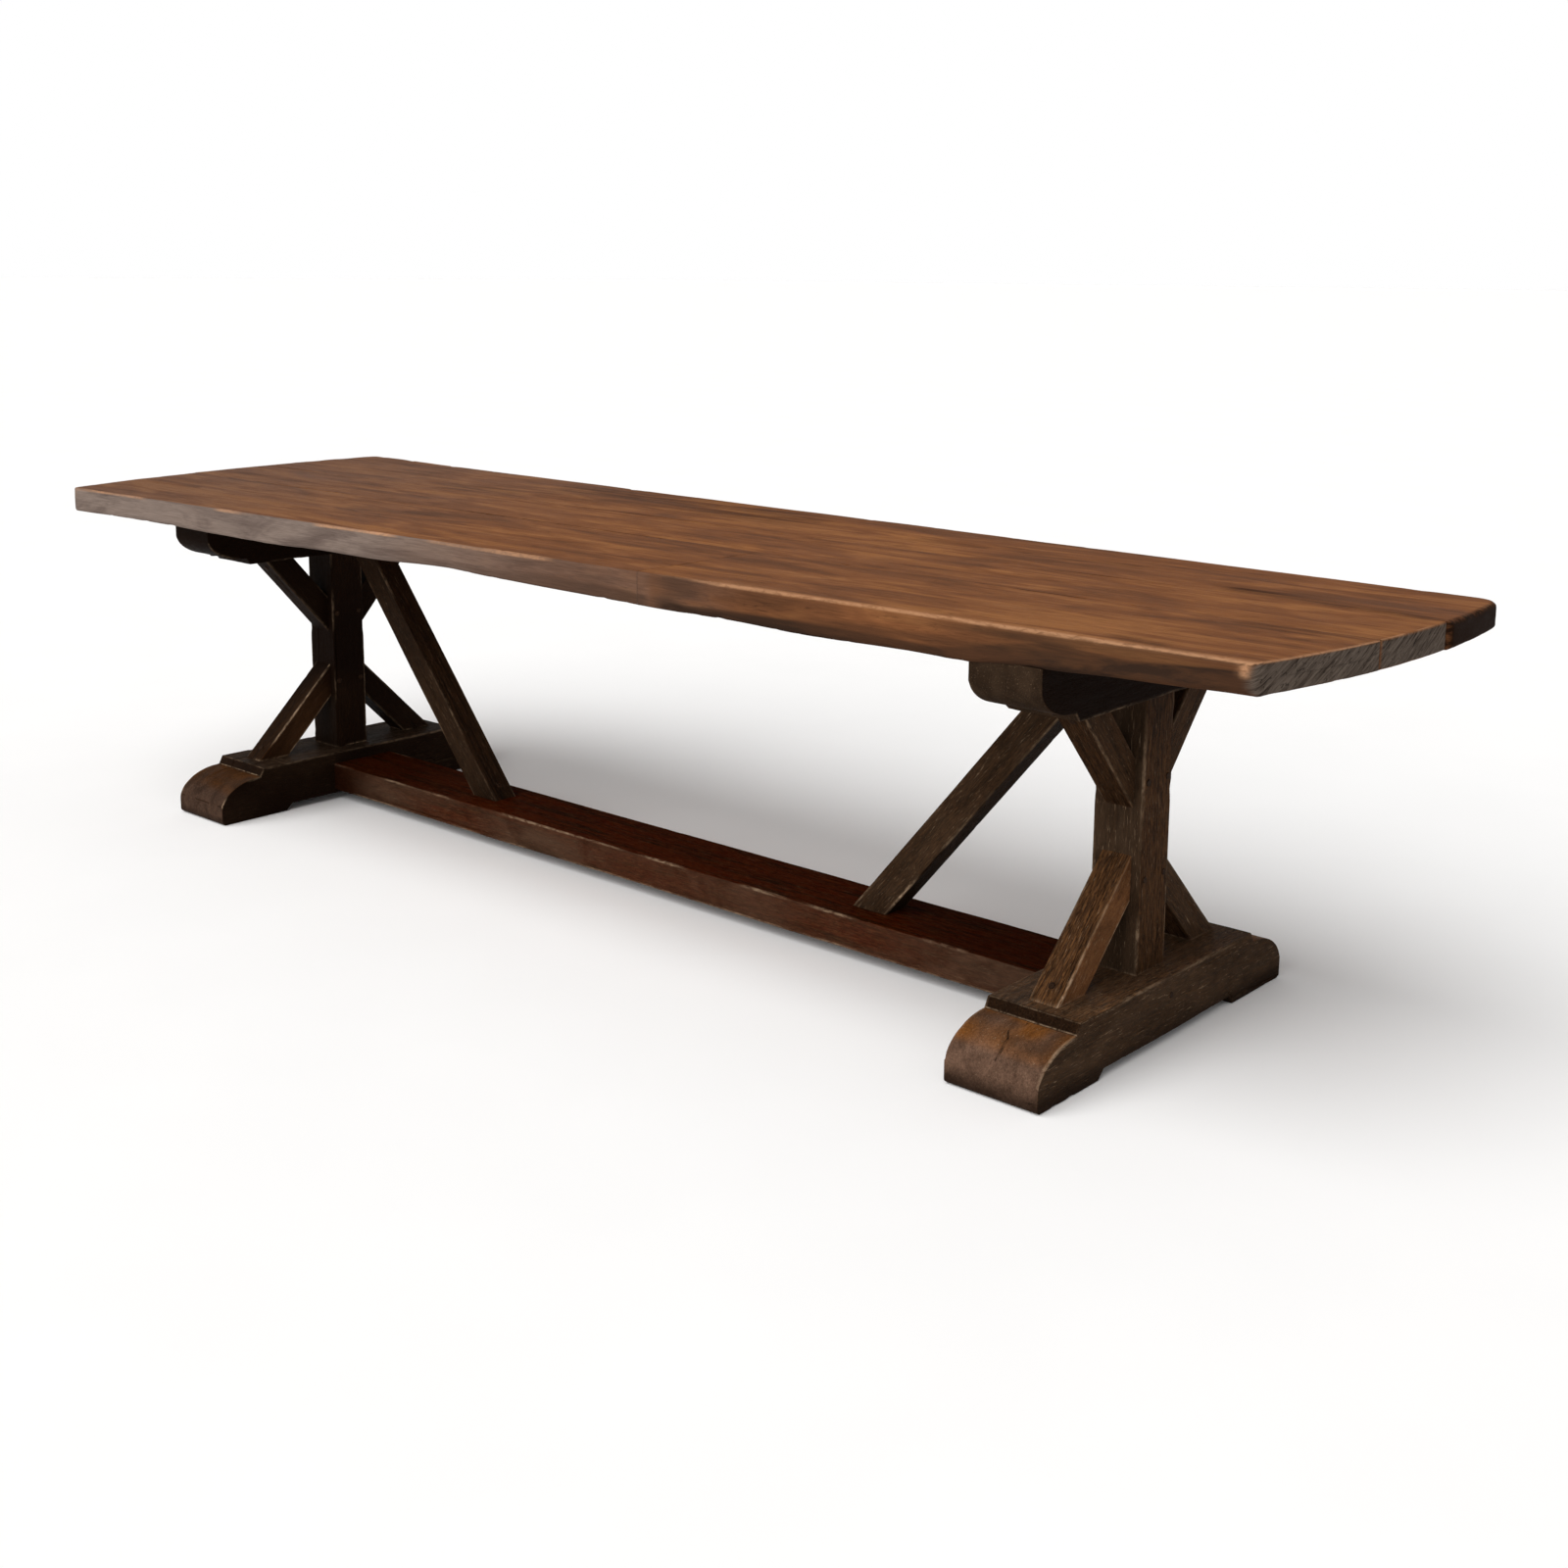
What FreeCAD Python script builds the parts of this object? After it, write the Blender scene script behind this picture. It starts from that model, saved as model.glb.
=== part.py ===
import FreeCAD, Part
import math
import os

# Refectory table with a plank top on two trestles, in millimetres.
# The origin is on the floor below the middle of the table. X runs along the table,
# the front edge is on the -Y side, and Z is up.

# Top
top_height = 760.0
board_thickness = 60.0
top_length = 3115.0
end_bow = 40.0
end_skew = 35.0
left_end_width = 915.0
right_end_width = 770.0
corner_radius = 18.0
edge_radius = 6.0
middle_board_width = 220.0
middle_board_offset = 15.0
butt_seam_x = 360.0

# Dowels that line up the boards
dowel_diameter = 16.0
dowel_length = 100.0
dowel_pitch = 330.0
dowel_inset = 150.0
butt_dowel_spread = 130.0

# Trestles
end_overhang = 427.5
foot_length = 794.0
foot_width = 180.0
foot_height = 117.0
foot_nose_height = 99.0
foot_nose_run = 107.0
foot_nose_drop = 66.0
foot_riser_run = 10.0
foot_pad_length = 175.0
foot_relief_height = 16.0
foot_relief_run = 16.0
post_width = 95.0
post_depth = 90.0
bearer_length = 776.0
bearer_width = 136.0
bearer_depth = 100.0
bearer_nose_depth = 86.0
bearer_nose_run = 99.0
bearer_nose_drop = 54.0
bearer_riser_run = 10.0

# Short braces in each trestle
brace_width = 58.0
brace_thickness = 58.0
lower_brace_toe_margin = 27.0
upper_brace_toe_margin = 62.0
brace_head_gap = 83.0
brace_head_lift = 6.0

# Stretcher and the long braces that stand on it
stretcher_width = 168.0
stretcher_thickness = 65.0
stretcher_lift = 25.0
long_brace_width = 60.0
long_brace_thickness = 62.0
long_brace_angle = 50.0
left_long_brace_seat_depth = 35.0
right_long_brace_seat_depth = 95.0

# Mortise and tenon joints
post_tenon_thickness = 34.0
post_tenon_width = 60.0
post_foot_tenon_length = 70.0
post_bearer_tenon_length = 66.0
brace_tenon_thickness = 24.0
brace_tenon_length = 28.0
brace_tenon_shoulder = 14.0
stretcher_tenon_thickness = 30.0
stretcher_tenon_width = 110.0
long_brace_tenon_thickness = 22.0
long_brace_foot_tenon_length = 34.0
long_brace_tenon_shoulder = 8.0
tenon_wall = 13.0
mortise_clearance = 0.2
mortise_end_gap = 0.6

# Oak pegs
peg_diameter = 14.0
peg_clearance = 0.1
peg_proud = 1.5
peg_wall = 3.0
toe_peg_length = 78.0
toe_peg_distance = 34.0
head_peg_length = 60.0
stretcher_peg_spread = 64.0
top_peg_diameter = 18.0
top_peg_bite = 32.0
top_peg_offset = 42.0
top_peg_end_distance = 80.0
top_peg_post_gap = 6.0

# Eased arrises of the timbers
arris = 3.0

# Levels and places that follow from the sizes above
under_top = top_height - board_thickness
bearer_bottom = under_top - bearer_depth
stretcher_top = stretcher_lift + stretcher_thickness
trestle_x = top_length / 2 - end_overhang
foot_inner_x = trestle_x - foot_width / 2
foot_shoulder_y = foot_length / 2 - foot_nose_run - foot_riser_run
bearer_inner_x = trestle_x - bearer_width / 2
bearer_shoulder_y = bearer_length / 2 - bearer_nose_run - bearer_riser_run
lower_brace_reach = foot_shoulder_y - lower_brace_toe_margin - post_depth / 2
upper_brace_reach = bearer_shoulder_y - upper_brace_toe_margin - post_depth / 2
brace_mean_rise = (bearer_bottom - foot_height - brace_head_gap) / 2
lower_brace_rise = brace_mean_rise + brace_head_lift
upper_brace_rise = brace_mean_rise - brace_head_lift
stretcher_tenon_length = foot_width / 2 - post_tenon_thickness / 2 - tenon_wall
long_brace_head_tenon_length = bearer_width / 2 - post_tenon_thickness / 2 - tenon_wall
post_peg_bite = tenon_wall - peg_wall
top_peg_middle_y = post_depth / 2 + top_peg_post_gap + top_peg_diameter / 2
front_joint_y = middle_board_offset - middle_board_width / 2
back_joint_y = middle_board_offset + middle_board_width / 2
board_middle_z = top_height - board_thickness / 2
top_reach = top_length / 2 + end_bow

SIDES = (("left", -1), ("right", 1))
FACES = (("front", -1), ("back", 1))


def vec(x, y, z):
    return FreeCAD.Vector(x, y, z)


def span_box(x_span, y_span, z_span):
    """Box between two limits on each axis, given in any order."""
    low = vec(min(x_span), min(y_span), min(z_span))
    high = vec(max(x_span), max(y_span), max(z_span))
    size = high.sub(low)
    return Part.makeBox(size.x, size.y, size.z, low)


def line(start, end):
    return Part.LineSegment(start, end).toShape()


def quarter_curve(start, corner, end):
    """Quarter of an oval from start to end, tangent to both legs that meet at the corner."""
    pull = 0.5523
    curve = Part.BezierCurve()
    curve.setPoles([start, start + (corner - start) * pull, end + (corner - end) * pull, end])
    return curve.toShape()


def prism(edges, direction):
    """Solid swept from a closed flat outline along a straight direction."""
    return Part.Face(Part.Wire(edges)).extrude(direction)


def polygon_prism(points, direction):
    return Part.Face(Part.makePolygon(list(points) + [points[0]])).extrude(direction)


def peg(start, direction, length, diameter=peg_diameter):
    return Part.makeCylinder(diameter / 2, length, start, direction)


def peg_hole(start, direction, length, diameter=peg_diameter):
    """Hole for a peg, with clearance round it and beyond its far end."""
    unit = vec(direction.x, direction.y, direction.z)
    unit.normalize()
    radius = diameter / 2 + peg_clearance
    return Part.makeCylinder(radius, length + 2 * mortise_end_gap, start - unit * mortise_end_gap, unit)


def cut_all(solid, tools):
    for tool in tools:
        solid = solid.cut(tool)
    return solid


def eased(solid, picks):
    """Chamfers the edges that the test picks, as a plane takes off a sharp arris."""
    edges = [edge for edge in solid.Edges if picks(edge)]
    return solid.makeChamfer(arris, edges)


def runs_along(edge, axis):
    """True for a straight edge parallel to an axis, 0 for X, 1 for Y and 2 for Z."""
    if not isinstance(edge.Curve, Part.Line):
        return False
    return abs(abs(edge.Curve.Direction[axis]) - 1) < 1e-6


def spread(start, end, inset, pitch):
    """Places evenly between two ends, about a pitch apart."""
    first = start + inset
    last = end - inset
    count = max(1, round((last - first) / pitch))
    return [first + (last - first) * i / count for i in range(count + 1)]


# Table top

def half_width(x):
    """Half of the top's width at a place along the tapered planks."""
    share = (x + top_length / 2) / top_length
    return (left_end_width + (right_end_width - left_end_width) * share) / 2


def top_slab():
    """Whole top before it is divided into boards, with bowed ends and rounded edges."""
    z = under_top
    front_x = (top_length - end_skew) / 2
    back_x = (top_length + end_skew) / 2
    front_left = vec(-front_x, -left_end_width / 2, z)
    front_right = vec(front_x, -right_end_width / 2, z)
    back_right = vec(back_x, right_end_width / 2, z)
    back_left = vec(-back_x, left_end_width / 2, z)
    outline = [
        Part.Arc(back_left, vec(-top_reach, 0, z), front_left).toShape(),
        line(front_left, front_right),
        Part.Arc(front_right, vec(top_reach, 0, z), back_right).toShape(),
        line(back_right, back_left),
    ]
    slab = prism(outline, vec(0, 0, board_thickness))
    corners = [edge for edge in slab.Edges if runs_along(edge, 2)]
    slab = slab.makeFillet(corner_radius, corners)
    rims = [edge for edge in slab.Edges if not runs_along(edge, 2)]
    return slab.makeFillet(edge_radius, rims)


def board_regions():
    """Name of each board and the block of the slab that it is cut from."""
    x_far = top_reach + board_thickness
    y_far = left_end_width + right_end_width
    depth = (under_top - board_thickness, top_height + board_thickness)
    return {
        "front_board_left": span_box((-x_far, butt_seam_x), (-y_far, front_joint_y), depth),
        "front_board_right": span_box((butt_seam_x, x_far), (-y_far, front_joint_y), depth),
        "middle_board": span_box((-x_far, x_far), (front_joint_y, back_joint_y), depth),
        "back_board": span_box((-x_far, x_far), (back_joint_y, y_far), depth),
    }


def joint_dowels(places, joint_y):
    """Dowels across a long joint, each half in either board."""
    along = vec(0, 1, 0)
    return [(vec(x, joint_y - dowel_length / 2, board_middle_z), along) for x in places]


def butt_dowels():
    """Dowels across the butt seam of the two front boards."""
    middle_y = (front_joint_y - half_width(butt_seam_x)) / 2
    along = vec(1, 0, 0)
    places = (middle_y - butt_dowel_spread / 2, middle_y + butt_dowel_spread / 2)
    return [(vec(butt_seam_x - dowel_length / 2, y, board_middle_z), along) for y in places]


def top_peg_places():
    """Foot of each peg that holds the boards down to the bearers, with its length."""
    places = []
    end_y = bearer_length / 2 - top_peg_end_distance
    for name, side in SIDES:
        for face, sign in FACES:
            for offset in (-top_peg_offset, top_peg_offset):
                x = side * trestle_x + offset
                places.append((x, sign * end_y, under_top - bearer_nose_depth))
        places.append((side * (trestle_x + top_peg_offset), top_peg_middle_y, bearer_bottom))
    return places


def top_pegs():
    up = vec(0, 0, 1)
    pegs = []
    for x, y, level in top_peg_places():
        bottom = level - peg_proud
        pegs.append((vec(x, y, bottom), up, under_top + top_peg_bite - bottom))
    return pegs


# Trestles

def foot_blank(x):
    """Sledge foot: pads and relief below, quarter-round noses and low risers above."""
    half = foot_length / 2
    start_x = x - foot_width / 2

    def at(y, z):
        return vec(start_x, y, z)

    pad = half - foot_pad_length
    relief = pad - foot_relief_run
    nose = half - foot_nose_run
    shoulder = foot_shoulder_y
    spring = foot_nose_height - foot_nose_drop
    edges = [
        line(at(-half, 0), at(-pad, 0)),
        line(at(-pad, 0), at(-relief, foot_relief_height)),
        line(at(-relief, foot_relief_height), at(relief, foot_relief_height)),
        line(at(relief, foot_relief_height), at(pad, 0)),
        line(at(pad, 0), at(half, 0)),
        line(at(half, 0), at(half, spring)),
        quarter_curve(at(half, spring), at(half, foot_nose_height), at(nose, foot_nose_height)),
        line(at(nose, foot_nose_height), at(shoulder, foot_height)),
        line(at(shoulder, foot_height), at(-shoulder, foot_height)),
        line(at(-shoulder, foot_height), at(-nose, foot_nose_height)),
        quarter_curve(at(-nose, foot_nose_height), at(-half, foot_nose_height), at(-half, spring)),
        line(at(-half, spring), at(-half, 0)),
    ]
    blank = prism(edges, vec(foot_width, 0, 0))
    return eased(blank, lambda edge: runs_along(edge, 1) and edge.BoundBox.ZMin > foot_height - arris)


def bearer_blank(x):
    """Bearer under the top: the foot's outline turned over, with deeper middle."""
    half = bearer_length / 2
    start_x = x - bearer_width / 2

    def at(y, depth):
        return vec(start_x, y, under_top - depth)

    nose = half - bearer_nose_run
    shoulder = bearer_shoulder_y
    spring = bearer_nose_depth - bearer_nose_drop
    deep = bearer_nose_depth
    edges = [
        line(at(-half, 0), at(half, 0)),
        line(at(half, 0), at(half, spring)),
        quarter_curve(at(half, spring), at(half, deep), at(nose, deep)),
        line(at(nose, deep), at(shoulder, bearer_depth)),
        line(at(shoulder, bearer_depth), at(-shoulder, bearer_depth)),
        line(at(-shoulder, bearer_depth), at(-nose, deep)),
        quarter_curve(at(-nose, deep), at(-half, deep), at(-half, spring)),
        line(at(-half, spring), at(-half, 0)),
    ]
    blank = prism(edges, vec(bearer_width, 0, 0))
    return eased(blank, lambda edge: runs_along(edge, 1) and edge.BoundBox.ZMax < bearer_bottom + arris)


def post_tenon(x, slack, end_gap):
    """Tenons at the foot and the head of a post, or their mortises with slack."""
    thick = post_tenon_thickness / 2 + slack
    wide = post_tenon_width / 2 + slack
    low = foot_height - post_foot_tenon_length - end_gap
    high = bearer_bottom + post_bearer_tenon_length + end_gap
    return span_box((x - thick, x + thick), (-wide, wide), (low, high))


def post_blank(x):
    half_x = post_width / 2
    half_y = post_depth / 2
    shaft = span_box((x - half_x, x + half_x), (-half_y, half_y), (foot_height, bearer_bottom))
    shaft = eased(shaft, lambda edge: runs_along(edge, 2))
    return shaft.fuse(post_tenon(x, 0, 0)).removeSplitter()


class ShortBrace:
    """Brace in the plane of a trestle, from its post to its foot or its bearer."""

    def __init__(self, x, face, seat_z, up, reach, rise):
        self.x = x
        self.face = face
        self.seat_z = seat_z
        self.up = up
        self.reach = reach
        self.rise = rise
        self.length = math.hypot(reach, rise)
        self.post_y = face * post_depth / 2
        self.seat_cut = brace_thickness * self.length / rise
        self.post_cut = brace_thickness * self.length / reach

    def at(self, out, height, x=None):
        """Point at a distance out from the post and a height from the seat."""
        x = self.x if x is None else x
        return vec(x, self.post_y + self.face * out, self.seat_z + self.up * height)

    def blank(self):
        x = self.x - brace_width / 2
        points = [
            self.at(0, self.rise, x),
            self.at(self.reach, 0, x),
            self.at(self.reach - self.seat_cut, 0, x),
            self.at(0, self.rise - self.post_cut, x),
        ]
        bar = polygon_prism(points, vec(brace_width, 0, 0))
        return eased(bar, self.is_long_arris)

    def is_long_arris(self, edge):
        box = edge.BoundBox
        return box.YLength > arris and box.ZLength > arris

    def tenons(self, slack, end_gap):
        """Stub tenons into the post and into the seat, or their mortises with slack."""
        half = brace_tenon_thickness / 2 + slack
        depth = brace_tenon_length + end_gap
        trim = brace_tenon_shoulder - slack
        high = self.at(0, self.rise - trim)
        low = self.at(-depth, self.rise - self.post_cut + trim)
        far = self.at(self.reach - trim, 0)
        near = self.at(self.reach - self.seat_cut + trim, -depth)
        x_span = (self.x - half, self.x + half)
        in_post = span_box(x_span, (high.y, low.y), (high.z, low.z))
        in_seat = span_box(x_span, (far.y, near.y), (far.z, near.z))
        return in_post, in_seat

    def post_peg(self):
        """Peg across the post and through the brace's tenon."""
        middle = self.at(-brace_tenon_length / 2, self.rise - self.post_cut / 2)
        half = post_width / 2 + peg_proud
        return vec(self.x - half, middle.y, middle.z), vec(1, 0, 0), 2 * half

    def toe_peg(self):
        """Peg through the brace's outer face, square to it, into the seat."""
        run = toe_peg_distance / self.length
        on_face = self.at(self.reach * (1 - run), self.rise * run)
        inward = vec(0, -self.face * self.rise, -self.up * self.reach)
        inward.normalize()
        return on_face - inward * peg_proud, inward, toe_peg_length + peg_proud


class LongBrace:
    """Brace in the length of the table, from the stretcher to a bearer.

    The seat depth is how far below the top the brace's lower side meets the bearer.
    """

    def __init__(self, side, seat_depth):
        self.side = side
        self.angle = math.radians(long_brace_angle)
        self.half_cut = long_brace_thickness / 2 / math.sin(self.angle)
        self.head_low = under_top - seat_depth
        lean = (self.head_low - stretcher_top) / math.tan(self.angle)
        self.foot = bearer_inner_x - lean - self.half_cut

    def at(self, out, y, z):
        return vec(self.side * out, y, z)

    def blank(self):
        y = -long_brace_width / 2
        height = under_top - stretcher_top
        lean = height / math.tan(self.angle)
        inner = self.foot - self.half_cut
        outer = self.foot + self.half_cut
        points = [
            self.at(inner, y, stretcher_top),
            self.at(outer, y, stretcher_top),
            self.at(outer + lean, y, under_top),
            self.at(inner + lean, y, under_top),
        ]
        bar = polygon_prism(points, vec(0, long_brace_width, 0))
        bar = eased(bar, lambda edge: edge.BoundBox.XLength > arris and edge.BoundBox.ZLength > arris)
        reach = (0, self.side * bearer_inner_x)
        return bar.common(span_box(reach, (y, -y), (stretcher_top, under_top)))

    def head_levels(self):
        """Lowest and highest place where the brace meets the bearer's inner face."""
        high = self.head_low + 2 * self.half_cut * math.tan(self.angle)
        return self.head_low, min(high, under_top)

    def tenons(self, slack, end_gap):
        """Tenons into the bearer and into the stretcher, or their mortises with slack."""
        half = long_brace_tenon_thickness / 2 + slack
        trim = long_brace_tenon_shoulder - slack
        low, high = self.head_levels()
        y_span = (-half, half)
        head_end = bearer_inner_x + long_brace_head_tenon_length + end_gap
        head_span = (self.side * bearer_inner_x, self.side * head_end)
        head = span_box(head_span, y_span, (low + trim, high - trim))
        foot_half = self.half_cut - trim
        foot_span = (self.side * (self.foot - foot_half), self.side * (self.foot + foot_half))
        foot_end = stretcher_top - long_brace_foot_tenon_length - end_gap
        foot = span_box(foot_span, y_span, (foot_end, stretcher_top))
        return head, foot

    def toe_peg(self):
        """Peg through the brace's upper face, square to it, into the stretcher."""
        out = self.foot - self.half_cut + toe_peg_distance * math.cos(self.angle)
        on_face = self.at(out, 0, stretcher_top + toe_peg_distance * math.sin(self.angle))
        inward = vec(self.side * math.sin(self.angle), 0, -math.cos(self.angle))
        return on_face - inward * peg_proud, inward, toe_peg_length + peg_proud

    def head_peg(self):
        """Peg down through the bearer and the tenon of the brace's head."""
        out = bearer_inner_x + long_brace_head_tenon_length / 2
        length = head_peg_length
        return self.at(out, 0, under_top - length), vec(0, 0, 1), length


def stretcher_tenon(side, slack, end_gap):
    half = stretcher_tenon_width / 2 + slack
    middle = stretcher_lift + stretcher_thickness / 2
    thick = stretcher_tenon_thickness / 2 + slack
    reach = (side * foot_inner_x, side * (foot_inner_x + stretcher_tenon_length + end_gap))
    return span_box(reach, (-half, half), (middle - thick, middle + thick))


def stretcher_pegs():
    """Pegs down through each foot and the stretcher's tenon in it."""
    pegs = []
    down = vec(0, 0, -1)
    for name, side in SIDES:
        for face, sign in FACES:
            x = side * (foot_inner_x + stretcher_tenon_length / 2)
            start = vec(x, sign * stretcher_peg_spread / 2, foot_height + peg_proud)
            pegs.append((start, down, foot_height + peg_proud - stretcher_lift))
    return pegs


def post_pegs(width, level):
    """Peg in each trestle, driven from the outer face of a timber through the post's tenon."""
    head = width / 2 + peg_proud
    length = head + post_tenon_thickness / 2 + post_peg_bite
    pegs = []
    for name, side in SIDES:
        start = vec(side * (trestle_x + head), 0, level)
        pegs.append((start, vec(-side, 0, 0), length))
    return pegs


# Every brace and peg, placed once and used by all the pieces that meet it

lower = {}
upper = {}
long_braces = {
    "left": LongBrace(-1, left_long_brace_seat_depth),
    "right": LongBrace(1, right_long_brace_seat_depth),
}
for name, side in SIDES:
    for face, sign in FACES:
        x = side * trestle_x
        key = (name, face)
        lower[key] = ShortBrace(x, sign, foot_height, 1, lower_brace_reach, lower_brace_rise)
        upper[key] = ShortBrace(x, sign, bearer_bottom, -1, upper_brace_reach, upper_brace_rise)

pegs = {
    "post_foot_pegs": post_pegs(foot_width, foot_height - post_foot_tenon_length / 2),
    "post_bearer_pegs": post_pegs(bearer_width, bearer_bottom + post_bearer_tenon_length / 2),
    "lower_brace_post_pegs": [brace.post_peg() for brace in lower.values()],
    "upper_brace_post_pegs": [brace.post_peg() for brace in upper.values()],
    "lower_brace_foot_pegs": [brace.toe_peg() for brace in lower.values()],
    "upper_brace_bearer_pegs": [brace.toe_peg() for brace in upper.values()],
    "stretcher_pegs": stretcher_pegs(),
    "long_brace_foot_pegs": [brace.toe_peg() for brace in long_braces.values()],
    "long_brace_head_pegs": [brace.head_peg() for brace in long_braces.values()],
}
dowels = {
    "front_joint_dowels": joint_dowels(
        spread(-top_length / 2, butt_seam_x, dowel_inset, dowel_pitch)
        + spread(butt_seam_x, top_length / 2, dowel_inset, dowel_pitch),
        front_joint_y,
    ),
    "back_joint_dowels": joint_dowels(
        spread(-top_length / 2, top_length / 2, dowel_inset, dowel_pitch), back_joint_y
    ),
    "butt_seam_dowels": butt_dowels(),
}


def drilled(solid, groups):
    """Solid with the holes of every peg in the named groups."""
    holes = [peg_hole(*place) for group in groups for place in pegs[group]]
    return cut_all(solid, [hole for hole in holes if hole.BoundBox.intersect(solid.BoundBox)])


def make_top():
    slab = top_slab()
    holes = [peg_hole(*place, top_peg_diameter) for place in top_pegs()]
    for group in dowels.values():
        holes += [peg_hole(start, along, dowel_length, dowel_diameter) for start, along in group]
    boards = {}
    for name, region in board_regions().items():
        board = slab.common(region)
        boards[name] = cut_all(board, [hole for hole in holes if hole.BoundBox.intersect(board.BoundBox)])
    return boards


def make_trestle(name, side):
    """Foot, post, bearer and the four braces of one trestle."""
    x = side * trestle_x
    braces_low = {face: lower[name, face] for face, sign in FACES}
    braces_high = {face: upper[name, face] for face, sign in FACES}
    long_brace = long_braces[name]
    post_mortise = post_tenon(x, mortise_clearance, mortise_end_gap)
    foot_mortises = [post_mortise, stretcher_tenon(side, mortise_clearance, mortise_end_gap)]
    bearer_mortises = [post_mortise, long_brace.tenons(mortise_clearance, mortise_end_gap)[0]]
    post_mortises = []
    for brace in braces_low.values():
        in_post, in_seat = brace.tenons(mortise_clearance, mortise_end_gap)
        post_mortises.append(in_post)
        foot_mortises.append(in_seat)
    for brace in braces_high.values():
        in_post, in_seat = brace.tenons(mortise_clearance, mortise_end_gap)
        post_mortises.append(in_post)
        bearer_mortises.append(in_seat)
    foot = cut_all(foot_blank(x), foot_mortises)
    bearer = cut_all(bearer_blank(x), bearer_mortises)
    for place in top_pegs():
        bearer = bearer.cut(peg_hole(*place, top_peg_diameter))
    post = cut_all(post_blank(x), post_mortises)
    foot_pegs = ["post_foot_pegs", "stretcher_pegs", "lower_brace_foot_pegs"]
    bearer_pegs = ["post_bearer_pegs", "upper_brace_bearer_pegs", "long_brace_head_pegs"]
    brace_pegs = ["lower_brace_post_pegs", "upper_brace_post_pegs", "post_foot_pegs", "post_bearer_pegs"]
    made = {
        name + "_foot": drilled(foot, foot_pegs),
        name + "_bearer": drilled(bearer, bearer_pegs),
        name + "_post": drilled(post, brace_pegs),
    }
    for level, braces in (("lower", braces_low), ("upper", braces_high)):
        seat_pegs = "lower_brace_foot_pegs" if level == "lower" else "upper_brace_bearer_pegs"
        for face, brace in braces.items():
            in_post, in_seat = brace.tenons(0, 0)
            bar = brace.blank().fuse([in_post, in_seat]).removeSplitter()
            made[f"{name}_{face}_{level}_brace"] = drilled(bar, [f"{level}_brace_post_pegs", seat_pegs])
    return made


def make_stretcher():
    half = stretcher_width / 2
    length = (-foot_inner_x, foot_inner_x)
    beam = span_box(length, (-half, half), (stretcher_lift, stretcher_top))
    beam = eased(beam, lambda edge: runs_along(edge, 0))
    beam = beam.fuse([stretcher_tenon(side, 0, 0) for name, side in SIDES]).removeSplitter()
    for brace in long_braces.values():
        in_bearer, in_stretcher = brace.tenons(mortise_clearance, mortise_end_gap)
        beam = beam.cut(in_stretcher)
    return drilled(beam, ["stretcher_pegs", "long_brace_foot_pegs"])


def make_long_brace(brace):
    bar = brace.blank().fuse(list(brace.tenons(0, 0))).removeSplitter()
    return drilled(bar, ["long_brace_foot_pegs", "long_brace_head_pegs"])


def make_pegs():
    groups = {name: [peg(*place) for place in places] for name, places in pegs.items()}
    groups["top_pegs"] = [peg(*place, top_peg_diameter) for place in top_pegs()]
    for name, places in dowels.items():
        groups[name] = [peg(start, along, dowel_length, dowel_diameter) for start, along in places]
    return {name: Part.makeCompound(solids) for name, solids in groups.items()}


def main():
    pieces = make_top()
    for name, side in SIDES:
        pieces.update(make_trestle(name, side))
        pieces[name + "_long_brace"] = make_long_brace(long_braces[name])
    pieces["stretcher"] = make_stretcher()
    pieces.update(make_pegs())
    os.makedirs("parts", exist_ok=True)
    for name, shape in pieces.items():
        shape.exportStep(f"parts/{name}.step")
        print(name, len(shape.Solids), round(shape.Volume / 1000), shape.isValid())


main()
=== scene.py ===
import itertools
import math

import bmesh
import bpy
import numpy as np
from mathutils import Euler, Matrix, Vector
from mathutils.bvhtree import BVHTree


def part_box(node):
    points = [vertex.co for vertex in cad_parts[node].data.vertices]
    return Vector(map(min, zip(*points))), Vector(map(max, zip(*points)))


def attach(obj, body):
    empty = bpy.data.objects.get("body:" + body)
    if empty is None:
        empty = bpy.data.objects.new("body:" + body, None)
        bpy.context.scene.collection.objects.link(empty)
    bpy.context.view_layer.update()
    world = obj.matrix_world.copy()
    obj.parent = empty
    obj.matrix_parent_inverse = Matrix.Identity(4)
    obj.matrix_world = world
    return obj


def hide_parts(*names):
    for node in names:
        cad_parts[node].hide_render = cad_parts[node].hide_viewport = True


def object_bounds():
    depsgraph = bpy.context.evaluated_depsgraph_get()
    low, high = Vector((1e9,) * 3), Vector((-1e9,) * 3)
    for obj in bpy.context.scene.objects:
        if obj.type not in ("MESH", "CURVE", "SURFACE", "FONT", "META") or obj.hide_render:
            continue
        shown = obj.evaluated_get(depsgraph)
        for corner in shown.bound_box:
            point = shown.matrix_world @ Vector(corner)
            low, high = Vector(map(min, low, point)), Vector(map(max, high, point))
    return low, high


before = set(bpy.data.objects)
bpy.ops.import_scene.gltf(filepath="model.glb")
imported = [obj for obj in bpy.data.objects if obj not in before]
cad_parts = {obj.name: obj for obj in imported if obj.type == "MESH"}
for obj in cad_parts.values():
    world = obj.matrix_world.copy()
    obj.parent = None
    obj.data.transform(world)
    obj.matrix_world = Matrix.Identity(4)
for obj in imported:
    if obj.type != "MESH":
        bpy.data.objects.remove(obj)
cad_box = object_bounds()

# Old oak refectory table. Every timber is swept along its grain inside the CAD solid that it stands for,
# with the waves, rubbed arrises and drying checks that use and age have left.

bl_info = {
    "name": "Old Oak Refectory Table",
    "version": (1, 0, 0),
    "blender": (4, 5, 0),
    "location": "3D View > Sidebar > Refectory",
    "description": "Dresses the frame of a pegged refectory table as worn old oak",
    "category": "Object",
}

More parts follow.
